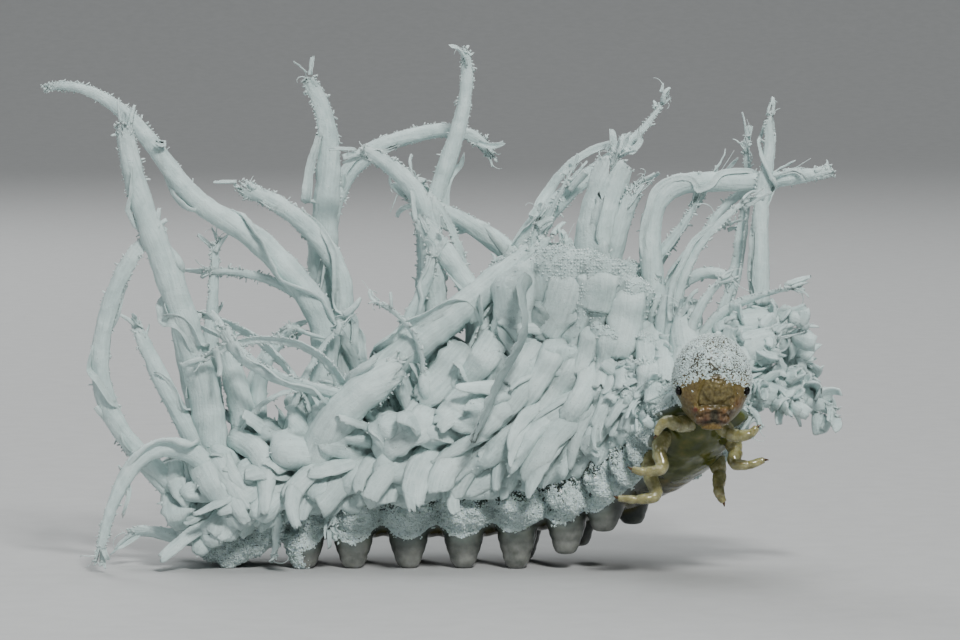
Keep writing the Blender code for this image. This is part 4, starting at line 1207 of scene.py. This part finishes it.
def filament_path(q, angle, length, turns, leans):
    """Fine path of a filament from under the surface out to its tip or to the floor."""
    count = max(FEWEST_STEPS, round(length / FILAMENT_STEP))
    t = (np.arange(count) + 0.5) / count
    steps = heading(catmull(turns, t), catmull(leans, t)) * (length / count)
    q, angle = np.array(float(q)), np.array(float(angle))
    root = surface(q, angle) - outward(q, angle) * ROOT_SINK
    path = np.concatenate([root[None], root + np.cumsum(steps, 0)])
    low = path[:, 2] < FLOOR_CLEARANCE
    low[:FEWEST_STEPS] = False
    path[:, 2] = np.maximum(path[:, 2], FLOOR_CLEARANCE)
    return path[: low.argmax()] if low.any() else path


def line_length(path):
    return np.linalg.norm(np.diff(path, axis=0), axis=1).sum()


def curled_sheet(
    pile, rng, root, path, width, tip_share, curl, seam,
    sheet, columns, tone, normal=(0.0, 1.0, 0.0), wobble=28, torn=0.1,
):
    """A strip of wax with torn edges and a ragged tip, rolled across its width.

    The root is its q and angle. The tip has tip_share of the width. The strip is bent round
    curl degrees, with its seam turned by so many from the normal and wandering by wobble. Its
    thickness is sheet, and torn is the share of the width that its tears take.
    """
    rings = len(path)
    t = np.linspace(0, 1, rings)
    length = line_length(path)
    wave = stacked(t * length, seam, width)
    wide = width * (1 - (1 - tip_share) * t**1.6) * (1 + 0.07 * ripple(wave, 1.4, int(abs(seam) * 7) + 3, 2))
    ways, side, normal = (v[0] for v in frames(path[None], np.array([normal], float)))
    turn = np.radians(seam + wobble * ripple(wave, 6.0, 9, 1))[:, None]
    across = side * np.cos(turn) + normal * np.sin(turn)
    above = normal * np.cos(turn) - side * np.sin(turn)
    u = np.linspace(-1, 1, columns)
    half = np.radians(curl / 2) * (1 - 0.45 * smoothstep(0.55, 1.0, t) * (curl > 120))
    tears = [1 + torn * np.minimum(ripple(wave + at, 0.5, seed), 0.3) for at, seed in ((50, 11), (90, 12))]
    arc = u[None] * half[:, None] * np.where(u[None] < 0, tears[0][:, None], tears[1][:, None])
    radius = (wide / 2 / np.where(half < np.pi / 2, np.sin(half), 1.0))[:, None]
    rag = np.abs(ripple(stacked(u * 3, seam, 0.0), 1.1, 14)) * min(0.5, 0.07 * length) / length
    thick = sheet * (1 - 0.55 * u**4) * (1 - 0.5 * smoothstep(0.8, 1.0, t))[:, None]
    at = np.clip(t[:, None] - rag[None] * t[:, None] ** 8, 0, 1) * (rings - 1)
    i = np.minimum(at.astype(int), rings - 2)
    f = (at - i)[..., None]
    middle = path[i] * (1 - f) + path[i + 1] * f
    faces = []
    for sign in (1, -1):
        r = radius * (1 + 0.16 * u[None] * (curl > 250)) + sign * thick / 2
        x = np.sin(arc) * r
        y = np.cos(arc) * r - radius * ((1 + np.cos(half)) / 2)[:, None]
        faces.append(middle + across[:, None] * x[..., None] + above[:, None] * y[..., None])
    body = np.concatenate([faces[0], faces[1][:, ::-1]], 1)
    body = body + (ripple(body, 0.45, 17, 2) * 0.018)[..., None] * above[:, None]
    points = with_poles(body)
    points[-1] = (faces[0][-1][columns // 2] + faces[1][-1][columns // 2]) / 2
    around = arc * radius
    around = np.concatenate([around, around[:, ::-1]], 1)
    lay = stacked((t * length)[:, None], around, rng.uniform(0, LAY_RANGE)).reshape(-1, 3)
    # Tone is darker near the root, where the sheet comes out of the wax: painted shade.
    shade = np.repeat(tone * (0.72 + 0.28 * smoothstep(0.0, 0.12, t)), 2 * columns)
    lay, shade = (np.concatenate([v, v[:1], v[-1:]]) for v in (lay, shade))
    pile.add(points[None], *tube_faces(1, rings, 2 * columns), lay[None], shade[None], *root)
    edges = np.concatenate([faces[0][:, 0], faces[0][:, -1], faces[0][-1]])
    out = np.concatenate([-across, across, np.repeat(ways[-1:], columns, 0)])
    return Torn(edges, out, np.concatenate([t, t, np.ones(columns)]), *root, path)


def companion(pile, rng, root, path, width):
    """A narrow ribbon that clings to a rolled sheet and parts from it here and there."""
    count = len(path)
    low, high = int(rng.uniform(0.15, 0.4) * count), int(rng.uniform(0.75, 1.0) * count)
    line = path[low:high]
    along = np.linspace(0, 1, len(line)) * line_length(line)
    aside = stacked(*(ripple(stacked(along, k * 9, root[0]), 3.0, 40 + k, 2) for k in range(3)))
    line = np.clip(line + unit(aside + (0.0, -0.4, 0.2)) * width * 0.52, INSIDE_LOW, INSIDE_HIGH)
    size, curl, seam = width * rng.uniform(0.3, 0.5), rng.uniform(80, 200), rng.uniform(0, 360)
    curled_sheet(pile, rng, root, line, size, 0.5, curl, seam, sheet=0.045, columns=7, tone=0.9)


def outermost(points, side):
    """Grid of how far the wax reaches to one side, with the grid's low corner."""
    flat = points[:, (0, 2)]
    low = flat.min(0)
    at = ((flat - low) / VEIL_CELL).astype(int)
    grid = np.full(at.max(0) + 1, -9.0)
    np.maximum.at(grid, (at[:, 0], at[:, 1]), points[:, 1] * side)
    return grid, low


def veils(points, material):
    """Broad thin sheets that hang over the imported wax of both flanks."""
    rng = np.random.default_rng(SEED + 70)
    pile = Pile()
    t = (np.arange(VEIL_STEPS) + 0.5) / VEIL_STEPS
    for side in (-1, 1):
        grid, low = outermost(points, side)
        for x, z, length, width, turns, curl, tone in VEILS:
            steps = heading(catmull(turns, t), 0.0) * (length / VEIL_STEPS)
            line = np.array((x, 0.0, z)) + np.cumsum(steps, 0)
            at = np.clip(((line[:, (0, 2)] - low) / VEIL_CELL).astype(int), 0, np.array(grid.shape) - 1)
            depth = np.maximum(grid[at[:, 0], at[:, 1]], 0.8)
            depth = np.convolve(np.pad(depth, 3, "edge"), np.ones(7) / 7, "valid")
            lift, tip_share = rng.uniform(-0.02, 0.08), rng.uniform(0.6, 0.95)
            if x < ROSETTE_X:
                lift, tip_share = lift + 0.12, tip_share - 0.4
            line[:, 1] = side * (depth + lift - 0.45 * (1 - smoothstep(0.0, 0.3, t)))
            q, angle, _ = locate(line[:1])
            curled_sheet(
                pile, rng, (q[0], angle[0]), line, width, tip_share, curl, rng.uniform(-12, 12),
                sheet=0.06, columns=11, tone=tone, normal=(0.0, side, 0.15), wobble=10,
            )
    pile.piece("wax_veils", material)


def torn_strip(pile, rng, root, path):
    """The loose strip that hangs over the flank, from where it comes out of the wax. Its dark grey tone is
    painted shade.
    """
    path = path[round(STRIP_START * len(path)) :]
    s = np.linspace(0, 1, len(path))
    path = path + stacked(0.5 * (1 - s) + 0.15, 0.6 - 1.2 * smoothstep(0.0, 0.3, s) - 0.4 * s, 0.0)
    curled_sheet(
        pile, rng, root, path, STRIP_WIDTH, 0.95, 50, 180,
        sheet=0.05, columns=17, tone=0.38, wobble=4, torn=0.25,
    )


def filaments(material):
    """All rolled sheets and thin strips, in two pieces; returns their torn edges."""
    rng = np.random.default_rng(SEED + 20)
    edges = []
    halves = ("wax_rolls_tail", REAR_PILE_Q, TAIL_END), ("wax_rolls_front", 0.0, REAR_PILE_Q)
    for piece, low, high in halves:
        pile = Pile()
        for name, q, angle, length, width, tip_share, turns, leans, curl in FILAMENTS:
            if not low <= q < high:
                continue
            path = filament_path(q, angle, length, turns, leans)
            seam = rng.uniform(130, 230)
            if name == "torn_strip":
                torn_strip(pile, rng, (q, angle), path)
                continue
            edges.append(curled_sheet(
                pile, rng, (q, angle), path, width * 0.96, tip_share, curl, seam,
                sheet=0.09, columns=13, tone=0.96,
            ))
            if length > 6:
                companion(pile, rng, (q, angle), path, width)
        for q, angle, length, width, turns, leans, curl in THIN_STRIPS:
            if low <= q < high:
                path = filament_path(q, angle, length, turns, leans)
                edges.append(curled_sheet(
                    pile, rng, (q, angle), path, width, 0.5, curl, rng.uniform(0, 360),
                    sheet=0.06, columns=7, tone=0.9,
                ))
        pile.piece(piece, material)
    return edges


def flakes(edges, tips, material, each_mm=26):
    """Small torn chips along the edges and tips of the sheets and tongues, in two pieces."""
    rng = np.random.default_rng(SEED + 30)
    rows = []
    for edge in edges:
        chance = 0.25 + 0.75 * edge.along**3
        count = int(each_mm * line_length(edge.path))
        pick = rng.choice(len(edge.points), count, p=chance / chance.sum())
        rows.append((edge.points[pick], edge.ways[pick], np.full(count, edge.q), np.full(count, edge.angle)))
    seeds, ways, root_q, root_angle = (np.concatenate(column) for column in zip(*rows, *tips))
    count = len(seeds)
    ways = unit(unit(ways) * 0.7 + rng.normal(0, 0.8, (count, 3)))
    rings, sides = 3, 3
    t = np.linspace(0, 1, rings)
    length = 0.035 + 0.085 * rng.uniform(0, 1, count) ** 2.5
    curve = rng.normal(0, 0.9, (count, 3))
    path = seeds[:, None] + ways[:, None] * ((t[None] - 0.25) * length[:, None])[..., None]
    path = path + curve[:, None] * (t[None] ** 2 * length[:, None] * 0.5)[..., None]
    half = (length[:, None] * rng.uniform(0.35, 0.75, count)[:, None] * (1 - 0.45 * t[None] ** 2))[..., None]
    a = ring_angles(sides, 0.5)
    normals = unit(rng.normal(size=(count, 3)))
    points = sweep(path, normals, np.cos(a) * half, np.sin(a) * (0.014 + half * 0.3))
    tone = rng.uniform(0.8, 1.0, count)[:, None]
    rear = root_q >= REAR_PILE_Q
    for name, kept in (("wax_flakes_tail", rear), ("wax_flakes_front", ~rear)):
        made = points[kept]
        pile = Pile()
        pile.add(made, *tube_faces(len(made), rings, sides), made, tone[kept], root_q[kept], root_angle[kept])
        pile.piece(name, material)


def wisps(edges, material, each=3):
    """Fine curly threads from the tips of the sheets."""
    rng = np.random.default_rng(SEED + 40)
    seeds, ways = [], []
    for edge in edges:
        tip = unit(edge.path[-1] - edge.path[-4])
        for _ in range(each):
            seeds.append(edge.path[-rng.integers(1, 6)] + rng.normal(0, 0.08, 3))
            ways.append(tip + rng.normal(0, 0.45, 3))
    roots = np.repeat([(edge.q, edge.angle) for edge in edges], each, 0)
    seeds, ways = np.array(seeds), unit(np.array(ways))
    count, rings, sides = len(seeds), 14, 4
    length = rng.uniform(0.3, 1.1, (count, 1))
    axis = unit(rng.normal(size=(count, 3)))
    curl = rng.uniform(-4.5, 4.5, (count, 1))
    t = np.linspace(0, 1, rings)
    turns = curl / rings * (0.4 + t[1:, None, None])
    path = curling_line(seeds, ways, axis, turns, length / rings).swapaxes(0, 1)
    kept = inside(path)
    path, axis, ways, roots = path[kept], axis[kept], ways[kept], roots[kept]
    radius = rng.uniform(0.016, 0.03, len(path))[:, None] * (1 - 0.6 * t[None])
    points = round_tubes(path, unit(np.cross(axis, ways) + 0.01), radius, sides)
    pile = Pile()
    pile.add(points, *tube_faces(len(path), rings, sides), points, 0.92, *roots.T)
    pile.piece("wax_wisps", material)


def lumps(material):
    """Packed, folded scraps of sheet behind the head, on the shoulder, crown and petals."""
    rng = np.random.default_rng(SEED + 50)
    places = []
    for q, angle, size, count in LUMPS:
        at_q = np.clip(q + rng.normal(0, 0.4, 2 * count), 0.35, 3.8)
        at_angle = angle + rng.normal(0, 14, 2 * count)
        outs = outward(at_q, at_angle)
        starts = surface(at_q, at_angle) + outs * rng.uniform(-0.3, 0.3, (2 * count, 1))
        places += [(*row, size * 0.72) for row in zip(starts, outs, zip(at_q, at_angle))]
    for name, q, angle, length, width, _, turns, leans, _ in FILAMENTS:
        if not name.startswith("blob"):
            continue
        path = filament_path(q, angle, length, turns, leans)
        for at in rng.integers(len(path) // 4, len(path) - 1, round(9 * length)):
            out = unit(rng.normal(size=3) + (0.3, -0.5, 0.1))
            places.append((path[at] + out * width * 0.3, out, (q, angle), 0.55))
    pile = Pile()
    for start, out, root, size in places:
        scale = size * rng.uniform(0.5, 1.2)
        way = unit(out * 1.1 + rng.normal(0, 0.6, 3) + (0.15, 0.0, -0.1))
        axis = unit(rng.normal(size=3))
        line = curling_line(start, way, axis, rng.uniform(0.1, 0.35, 7), scale * 0.18)
        line = np.clip(line, INSIDE_LOW + 0.15, INSIDE_HIGH - 0.15)
        line[:, 0] += np.arange(8) * 1e-3
        curled_sheet(
            pile, rng, root, line, scale * rng.uniform(0.7, 1.2), rng.uniform(0.7, 1.1),
            rng.uniform(60, 210), rng.uniform(0, 360), sheet=0.11, columns=9, tone=rng.uniform(0.8, 1.0),
        )
    pile.piece("wax_lumps", material)


def crumbs(name, seeds, normals, sizes, roots, material, nodes, seed):
    """Rough eight-sided grains of wax strewn over a surface."""
    rng = np.random.default_rng(seed)
    count = len(seeds)
    corners = np.array([(1, 0, 0), (-1, 0, 0), (0, 1, 0), (0, -1, 0), (0, 0, 1), (0, 0, -1)], float)
    faces = np.array([(0, 2, 4), (2, 1, 4), (1, 3, 4), (3, 0, 4), (2, 0, 5), (1, 2, 5), (3, 1, 5), (0, 3, 5)])
    first = unit(rng.normal(size=(count, 3)))
    second = unit(np.cross(first, normals + rng.normal(0, 0.3, (count, 3))))
    size = sizes[:, None] * rng.uniform(0.6, 1.3, (count, 3))
    points = seeds[:, None] + normals[:, None] * (sizes * 0.25)[:, None, None]
    for k, axis in enumerate((first, second, np.cross(first, second))):
        points = points + axis[:, None] * (corners[None, :, k] * size[:, k : k + 1])[..., None]
    tris = (faces[None] + (np.arange(count) * len(corners))[:, None, None]).reshape(-1, 3)
    pile = Pile()
    pile.add(points, NO_QUADS, tris, points, rng.uniform(0.8, 1.0, count)[:, None], *roots)
    pile.piece(name, material, nodes)


def strewn(rng, weight, count, smallest, largest):
    """Random choice of points by weight, and a size for each."""
    pick = rng.choice(len(weight), count, p=weight / weight.sum())
    return pick, rng.uniform(smallest, largest, count)


def strew_crumbs(skin, head, packed, material):
    """Grains over the head, the side lobes, the shoulders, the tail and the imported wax."""
    rng = np.random.default_rng(SEED + 60)
    points, normals, wax = head
    pick, sizes = strewn(rng, wax**2, 4500, 0.018, 0.036)
    roots = rng.uniform(0.01, 0.2, len(pick)), points[pick][:, 0] * 10
    crumbs("wax_crumbs_head", points[pick], normals[pick], sizes, roots, material, ["head"], SEED + 61)
    points, normals, wax, q, angle = skin
    weight = wax**2 * (np.abs(angle) > 84) * (0.9 + 1.4 * smoothstep(3.2, 1.5, q))
    pick, sizes = strewn(rng, weight, 17000, 0.02, 0.06)
    roots = q[pick], angle[pick]
    crumbs("wax_crumbs_body", points[pick], normals[pick], sizes, roots, material, TRUNK_NODES, SEED + 62)
    points, normals, tone, q, angle = packed
    weight = 0.04 + 3 * smoothstep(3.2, 1.0, q) * tone
    pick, sizes = strewn(rng, weight, 9000, 0.02, 0.055)
    roots = q[pick], angle[pick]
    crumbs("wax_crumbs_back", points[pick], normals[pick], sizes, roots, material, TRUNK_NODES, SEED + 63)


# Head and legs


def ball_part(middle, half, rings=20, sides=28):
    """Egg of given middle and half sizes."""
    polar, turn = np.meshgrid(np.linspace(0.08, np.pi - 0.08, rings), ring_angles(sides), indexing="ij")
    points = stacked(np.sin(polar) * np.cos(turn), np.sin(polar) * np.sin(turn), np.cos(polar))
    points = points * np.asarray(half)
    ends = [[0, 0, half[2]], [0, 0, -half[2]]]
    return np.concatenate([points.reshape(-1, 3), ends]) + np.asarray(middle), *tube_faces(1, rings, sides)


def head_part():
    """Egg of the head, drawn in below and in front."""
    points, quads, tris = ball_part((0, 0, 0), (1, 1, 1), 90, 120)
    ways = unit(points)
    made = ways * HEAD_HALF
    made[:, 0] *= np.where(ways[:, 2] < 0, 1 - 0.28 * ways[:, 2] ** 2, 1.0)
    made[:, 1] *= np.where(ways[:, 1] < 0, 1 - 0.12 * ways[:, 1] ** 2, 1.0)
    return made + HEAD_CENTRE, quads, tris


def near(x, z, at_x, at_z, wide, high):
    """1 at a place of the face, falling away round it."""
    return np.exp(-(((x - at_x) / wide) ** 2) - ((z - at_z) / high) ** 2)


def eye_middle(side):
    x, z = EYE_PLACE
    reach = math.sqrt(1 - (x / HEAD_HALF[0]) ** 2 - (z / HEAD_HALF[2]) ** 2)
    return HEAD_CENTRE + np.array((side * x, -HEAD_HALF[1] * 0.92 * reach, z))


def head_parts():
    """The head's egg and frons, lips and lower jaw, and on each side jaw, palp and feeler."""
    mouth = HEAD_CENTRE + np.array((0.0, -HEAD_HALF[1] * 0.8, -0.98))
    parts = [head_part(), ball_part(HEAD_CENTRE + (0.06, -0.55, -0.15), (0.75, 0.72, 0.75))]
    parts.append(ball_part(mouth + (0.02, 0.04, 0.2), (0.32, 0.25, 0.14)))
    parts.append(ball_part(mouth + (-0.02, 0.2, -0.1), (0.4, 0.36, 0.36)))
    parts.append(ball_part(mouth + (-0.03, 0.26, -0.42), (0.36, 0.24, 0.08)))
    for side in (-1, 1):
        parts.append(ball_part(mouth + (side * 0.36 - 0.02, 0.1, 0.15), (0.18, 0.22, 0.15)))
        parts.append(ball_part(mouth + (side * 0.42 - 0.03, 0.2, -0.14), (0.16, 0.22, 0.18)))
        parts.append(ball_part(HEAD_CENTRE + (side * 0.58, -1.02, -0.72), (0.1, 0.22, 0.1)))
    return parts


def face_relief(points, x, z, arch, slot):
    """How far the face rises: the frons's rim and seam, the mouth's slot, knobs and eye rims."""
    rise = 0.045 * bell(arch, 0.96, 0.07) * (z > -0.65)
    rise -= 0.06 * bell(arch, 1.12, 0.05) * (z > -0.7)
    rise += 0.02 * ripple(points, 0.3, 71, 2) * (arch < 1)
    rise -= 0.12 * np.clip(slot, 0, 1)
    rise += 0.06 * (near(x, z, -0.43, -0.86, 0.1, 0.09) + near(x, z, -0.2, -0.78, 0.12, 0.1))
    rise += 0.05 * (near(x, z, 0.31, -0.84, 0.13, 0.1) + near(x, z, 0.62, -0.82, 0.1, 0.1))
    rise -= 0.03 * near(x, z + 0.12 * x**2, 0.1, -0.66, 0.6, 0.05)
    rise += 0.01 * ripple(points, 0.13, 72, 2)
    for side in (-1, 1):
        away = np.linalg.norm(points - eye_middle(side), axis=1)
        rise += 0.035 * bell(away, 0.22, 0.05)
        rise -= 0.12 * smoothstep(0.18, 0.1, away)
    return rise


def make_head():
    """The head capsule and its colours; returns its points, normals and share of wax."""
    points, quads = remeshed(head_parts(), HEAD_VOXEL)
    points = soften(points, quads, 3)
    x, y, z = (points - HEAD_CENTRE).T
    front = smoothstep(0.15, 0.75, -y / HEAD_HALF[1])
    arch = np.hypot((x - 0.12) / 0.56, (z + 0.52) / 0.82)
    slot = near(x, z, 0.03, -1.0, 0.17, 0.2) + 0.85 * near(x, z, -0.04, -1.24, 0.34, 0.08)
    rise = face_relief(points, x, z, arch, slot) * np.maximum(front, 0.35)
    points = points + vertex_normals(points, quads) * rise[:, None]
    normals = vertex_normals(points, quads)
    brow = np.interp(x, (-1.25, -1.0, -0.48, 0.14, 0.64, 1.16), (-0.12, 0.1, 0.26, 0.46, 0.18, -0.08))
    brow = brow + 0.09 * ripple(points, 0.35, 73)
    wax = smoothstep(brow - 0.5, brow + 0.25, z)
    wax = np.maximum(wax, (1 - smoothstep(0.1, 0.5, front)) * smoothstep(-1.0, -0.5, z))
    fields = {
        "tint": head_tint(x, z, front, arch, slot, points),
        "wax": wax,
        "hollow": 0.52 + 0.25 * np.clip(ripple(points, 0.4, 74, 2), -1, 1),
        "dull": np.clip(slot * 2.4 - 0.3, 0, 1),
    }
    material = tinted_material("head_shell", 11000.0, 0.25, 0.35, 0.12, powdered=True)
    mesh_piece("head_capsule", points, quads, NO_TRIS, material, "chitin", ["head"], **fields)
    return points, normals, wax


def opaque(colour):
    """Colours (points, 3) with a fourth column of 1, as the attribute needs it."""
    return np.concatenate([colour, np.ones((len(colour), 1))], 1)


def head_tint(x, z, front, arch, slot, points):
    """Colour of each point of the head: ochre face, olive frons, brown mouth, green throat."""
    colour = np.broadcast_to((0.2, 0.145, 0.035), (len(x), 3)).copy()

    def paint(weight, rgb):
        w = np.clip(weight, 0, 1)[:, None]
        colour[:] = colour * (1 - w) + np.array(rgb) * w

    patch = ripple(points, 0.4, 81)
    fine = ripple(points, 0.14, 82, 2)
    paint(0.35 + 0.35 * patch, (0.25, 0.2, 0.07))
    paint((arch < 1) * (0.75 + 0.2 * patch), (0.17, 0.14, 0.05))
    paint((arch < 1) * np.clip(fine - 0.3, 0, 1) * 0.8, (0.3, 0.27, 0.13))
    paint(bell(arch, 1.1, 0.06) * (z > -0.75) * 0.7, (0.36, 0.31, 0.14))
    paint(near(x, z, -0.85, -0.5, 0.25, 0.3) * 0.7, (0.24, 0.14, 0.025))
    paint(near(x, z, 0.86, -0.68, 0.22, 0.22), (0.3, 0.11, 0.012))
    # A dark olive band across the face, in the groove under the frons: partly a brown band of the face,
    # partly painted shade in the groove.
    paint(near(x, z, 0.14, -0.66, 0.5, 0.07) * 0.7, (0.07, 0.06, 0.02))
    paint(smoothstep(-0.68, -0.9, z) * 0.7, (0.19, 0.105, 0.03))
    paint(near(x, z, -0.22, -0.8, 0.12, 0.1) + near(x, z, 0.31, -0.84, 0.13, 0.1), (0.3, 0.15, 0.07))
    paint(near(x, z, -0.55, -1.1, 0.18, 0.16) * 0.8, (0.26, 0.17, 0.08))
    paint(near(x, z, -0.59, -0.81, 0.07, 0.08) * 1.5, (0.36, 0.02, 0.004))
    paint(near(x, z, 0.6, -0.87, 0.07, 0.09) * 1.4, (0.06, 0.015, 0.004))
    paint(near(x, z, -0.05, -1.18, 0.46, 0.2) * 1.2, (0.17, 0.035, 0.006))
    paint(np.clip(slot * 2.4 - 0.6, 0, 1), (0.014, 0.008, 0.005))
    paint(smoothstep(-1.3, -1.4, z), (0.34, 0.24, 0.02))
    paint(smoothstep(-1.42, -1.48, z), (0.11, 0.12, 0.03))
    paint((1 - front) * 0.8, (0.13, 0.13, 0.045))
    colour *= (0.58, 0.53, 0.25)
    paint(near(x, z, -0.03, -1.1, 0.42, 0.24) * 0.8, (0.085, 0.026, 0.005))
    paint(near(x, z, -0.05, -1.22, 0.4, 0.09), (0.05, 0.008, 0.003))
    paint(np.clip(slot * 2.4 - 0.5, 0, 1), (0.008, 0.005, 0.004))
    paint(near(x, z, -0.05, -1.37, 0.36, 0.06), (0.2, 0.12, 0.01))
    paint(smoothstep(0.1, 0.4, z) * 0.95, (0.034, 0.036, 0.032))
    return opaque(colour)


def leg_knots(q, angle, bends):
    """Joints of a leg, from inside the body to its tip."""
    q, angle = np.array(q), np.array(float(angle))
    inset = 0.35
    knots = [surface(q, angle) - outward(q, angle) * inset]
    for k, (turn, lean, length) in enumerate(bends):
        length = length + (inset if k == 0 else 0)
        knots.append(knots[-1] + heading(turn, lean) * length)
    return np.array(knots)


def leg_part(knots, rings=44, sides=20):
    """Tube of a leg, drawn in at its joints."""
    t = np.linspace(0, 1, rings)
    at_knots = np.linspace(0, 1, len(knots))
    straight = stacked(*(np.interp(t, at_knots, column) for column in knots.T))
    path = catmull(knots, t) * 0.5 + straight * 0.5
    joint = np.abs(((t * 4) + 0.5) % 1 - 0.5)
    radius = np.interp(t, at_knots, LEG_RADII)
    radius = radius * (0.94 - 0.2 * bell(joint, 0.0, 0.1) * (t > 0.1) * (t < 0.95))
    points = round_tubes(path[None], np.array([[0.0, 1.0, 0.01]]), radius[None], sides, 0.95)[0]
    return points, *tube_faces(1, rings, sides)


def claw_part(base, way, rings=12, sides=10):
    """Small hooked claw at the end of a leg."""
    t = np.linspace(0, 1, rings)
    hook = unit(np.cross(way, (0, 1, 0)))
    path = base - way * 0.06 + way * (t * 0.2)[:, None] - hook * (0.06 * t**2)[:, None]
    radius = 0.062 * (1 - t) ** 0.7 + 0.006
    points = round_tubes(path[None], np.array([[0.0, 1.0, 0.02]]), radius[None], sides)[0]
    return points, *tube_faces(1, rings, sides)


def make_legs():
    """Six jointed, milky legs, and their claws."""
    knots = [leg_knots(q, side * angle, bends) for _, side, q, angle, bends in LEGS]
    points, quads = remeshed([leg_part(k) for k in knots], LEG_VOXEL)
    points = soften(points, quads, 2)
    points = points + vertex_normals(points, quads) * (0.006 * ripple(points, 0.25, 91, 2))[:, None]
    patch = 0.5 + 0.5 * np.clip(ripple(points, 0.5, 92, 2), -1, 1)
    colour = np.array((0.22, 0.215, 0.085)) + patch[:, None] * np.array((0.16, 0.16, 0.09))
    material = tinted_material("leg_flesh", 5000.0, 0.1, 0.8, 0.5)
    mesh_piece("legs", points, quads, NO_TRIS, material, "flesh", LEG_NODES, tint=opaque(colour))
    claws = [claw_part(k[-1], unit(k[-1] - k[-2])) for k in knots]
    material = shell_material("claw_shell", (0.05, 0.026, 0.01), 0.2, 0.5)
    mesh_piece("claws", *joined(claws), material, "chitin", LEG_NODES)


def make_eyes():
    """Black shining eyes, each a little egg in its rim."""
    material = shell_material("eye_black", (0.003, 0.0025, 0.002), 0.05, 0.25)
    for word, side in SIDES:
        half = (EYE_RADIUS * 0.75, EYE_RADIUS, EYE_RADIUS)
        points, quads, tris = ball_part((0, 0, 0), half, 24, 32)
        points = points + eye_middle(side) + np.array((0, 0.02, 0))
        mesh_piece(f"eye_ball_{word}", points, quads, tris, material, "eye", [f"eye_{word}"])


# Stage


def make_stage():
    """A pale floor that curves up into a backdrop far behind."""
    across = np.linspace(-1.5, 1.5, 3)
    turn = np.linspace(0, np.pi / 2, 24)
    depth = np.concatenate([[-1.0], 0.35 + 0.35 * np.sin(turn), [0.7]])
    rise = np.concatenate([[0.0], 0.35 - 0.35 * np.cos(turn), [1.5]])
    points = [(x, y, z) for y, z in zip(depth, rise) for x in across]
    faces = [(k + i, k + i + 1, k + i + 4, k + i + 3) for k in range(0, len(points) - 3, 3) for i in range(2)]
    mesh = bpy.data.meshes.new("floor")
    mesh.from_pydata(points, [], faces)
    mesh.shade_smooth()
    mesh.materials.append(floor_material())
    floor = bpy.data.objects.new("floor", mesh)
    bpy.context.scene.collection.objects.link(floor)


def aimed(name, data, place, aim):
    """Object of a light or camera at a place, turned to look along aim."""
    obj = bpy.data.objects.new(name, data)
    obj.location = place
    obj.rotation_euler = aim.to_track_quat("-Z", "Y").to_euler()
    bpy.context.scene.collection.objects.link(obj)
    return obj


def make_light():
    world = bpy.data.worlds.new("world")
    bpy.context.scene.world = world
    world.use_nodes = True
    background = world.node_tree.nodes["Background"]
    background.inputs["Color"].default_value = (0.68, 0.74, 0.78, 1.0)
    background.inputs["Strength"].default_value = 0.14
    for name, place, size, power, colour in LIGHTS:
        light = bpy.data.lights.new(name, "AREA")
        light.size = size
        light.energy = power
        light.color = colour
        aimed(name, light, place, LIGHT_AIM - Vector(place))


def make_camera():
    camera = bpy.data.cameras.new("camera")
    camera.lens = 180.0
    camera.sensor_width = 36.0
    camera.clip_start = 0.01
    camera.clip_end = 10.0
    rise = math.radians(VIEW_RISE)
    back = Vector((0.0, -math.cos(rise), math.sin(rise)))
    bpy.context.scene.camera = aimed("camera", camera, VIEW_AIM + back * VIEW_DISTANCE, -back)


def main():
    wax = wax_material("wax_fibrous", (0.46, 0.58, 0.57), (0.66, 0.8, 0.785), 0.00007, 0.2)
    powder = wax_material("wax_powder", (0.56, 0.67, 0.66), (0.74, 0.86, 0.845), 0.00002, 0.1)
    skin = make_skin()
    drape = Drape()
    mound(drape)
    tips = [tongues(drape, side) for _, side in SIDES]
    tips += plates(drape)
    packed = drape.piece("wax_drape", wax)
    veils(packed[0], wax)
    for word, side in SIDES:
        shingles(word, side, wax)
    edges = filaments(wax)
    fringes(edges, wax)
    lumps(wax)
    flakes(edges, tips, powder)
    wisps(edges, powder)
    head = make_head()
    strew_crumbs(skin, head, packed, powder)
    make_eyes()
    make_legs()
    make_stage()
    make_light()
    make_camera()


main()
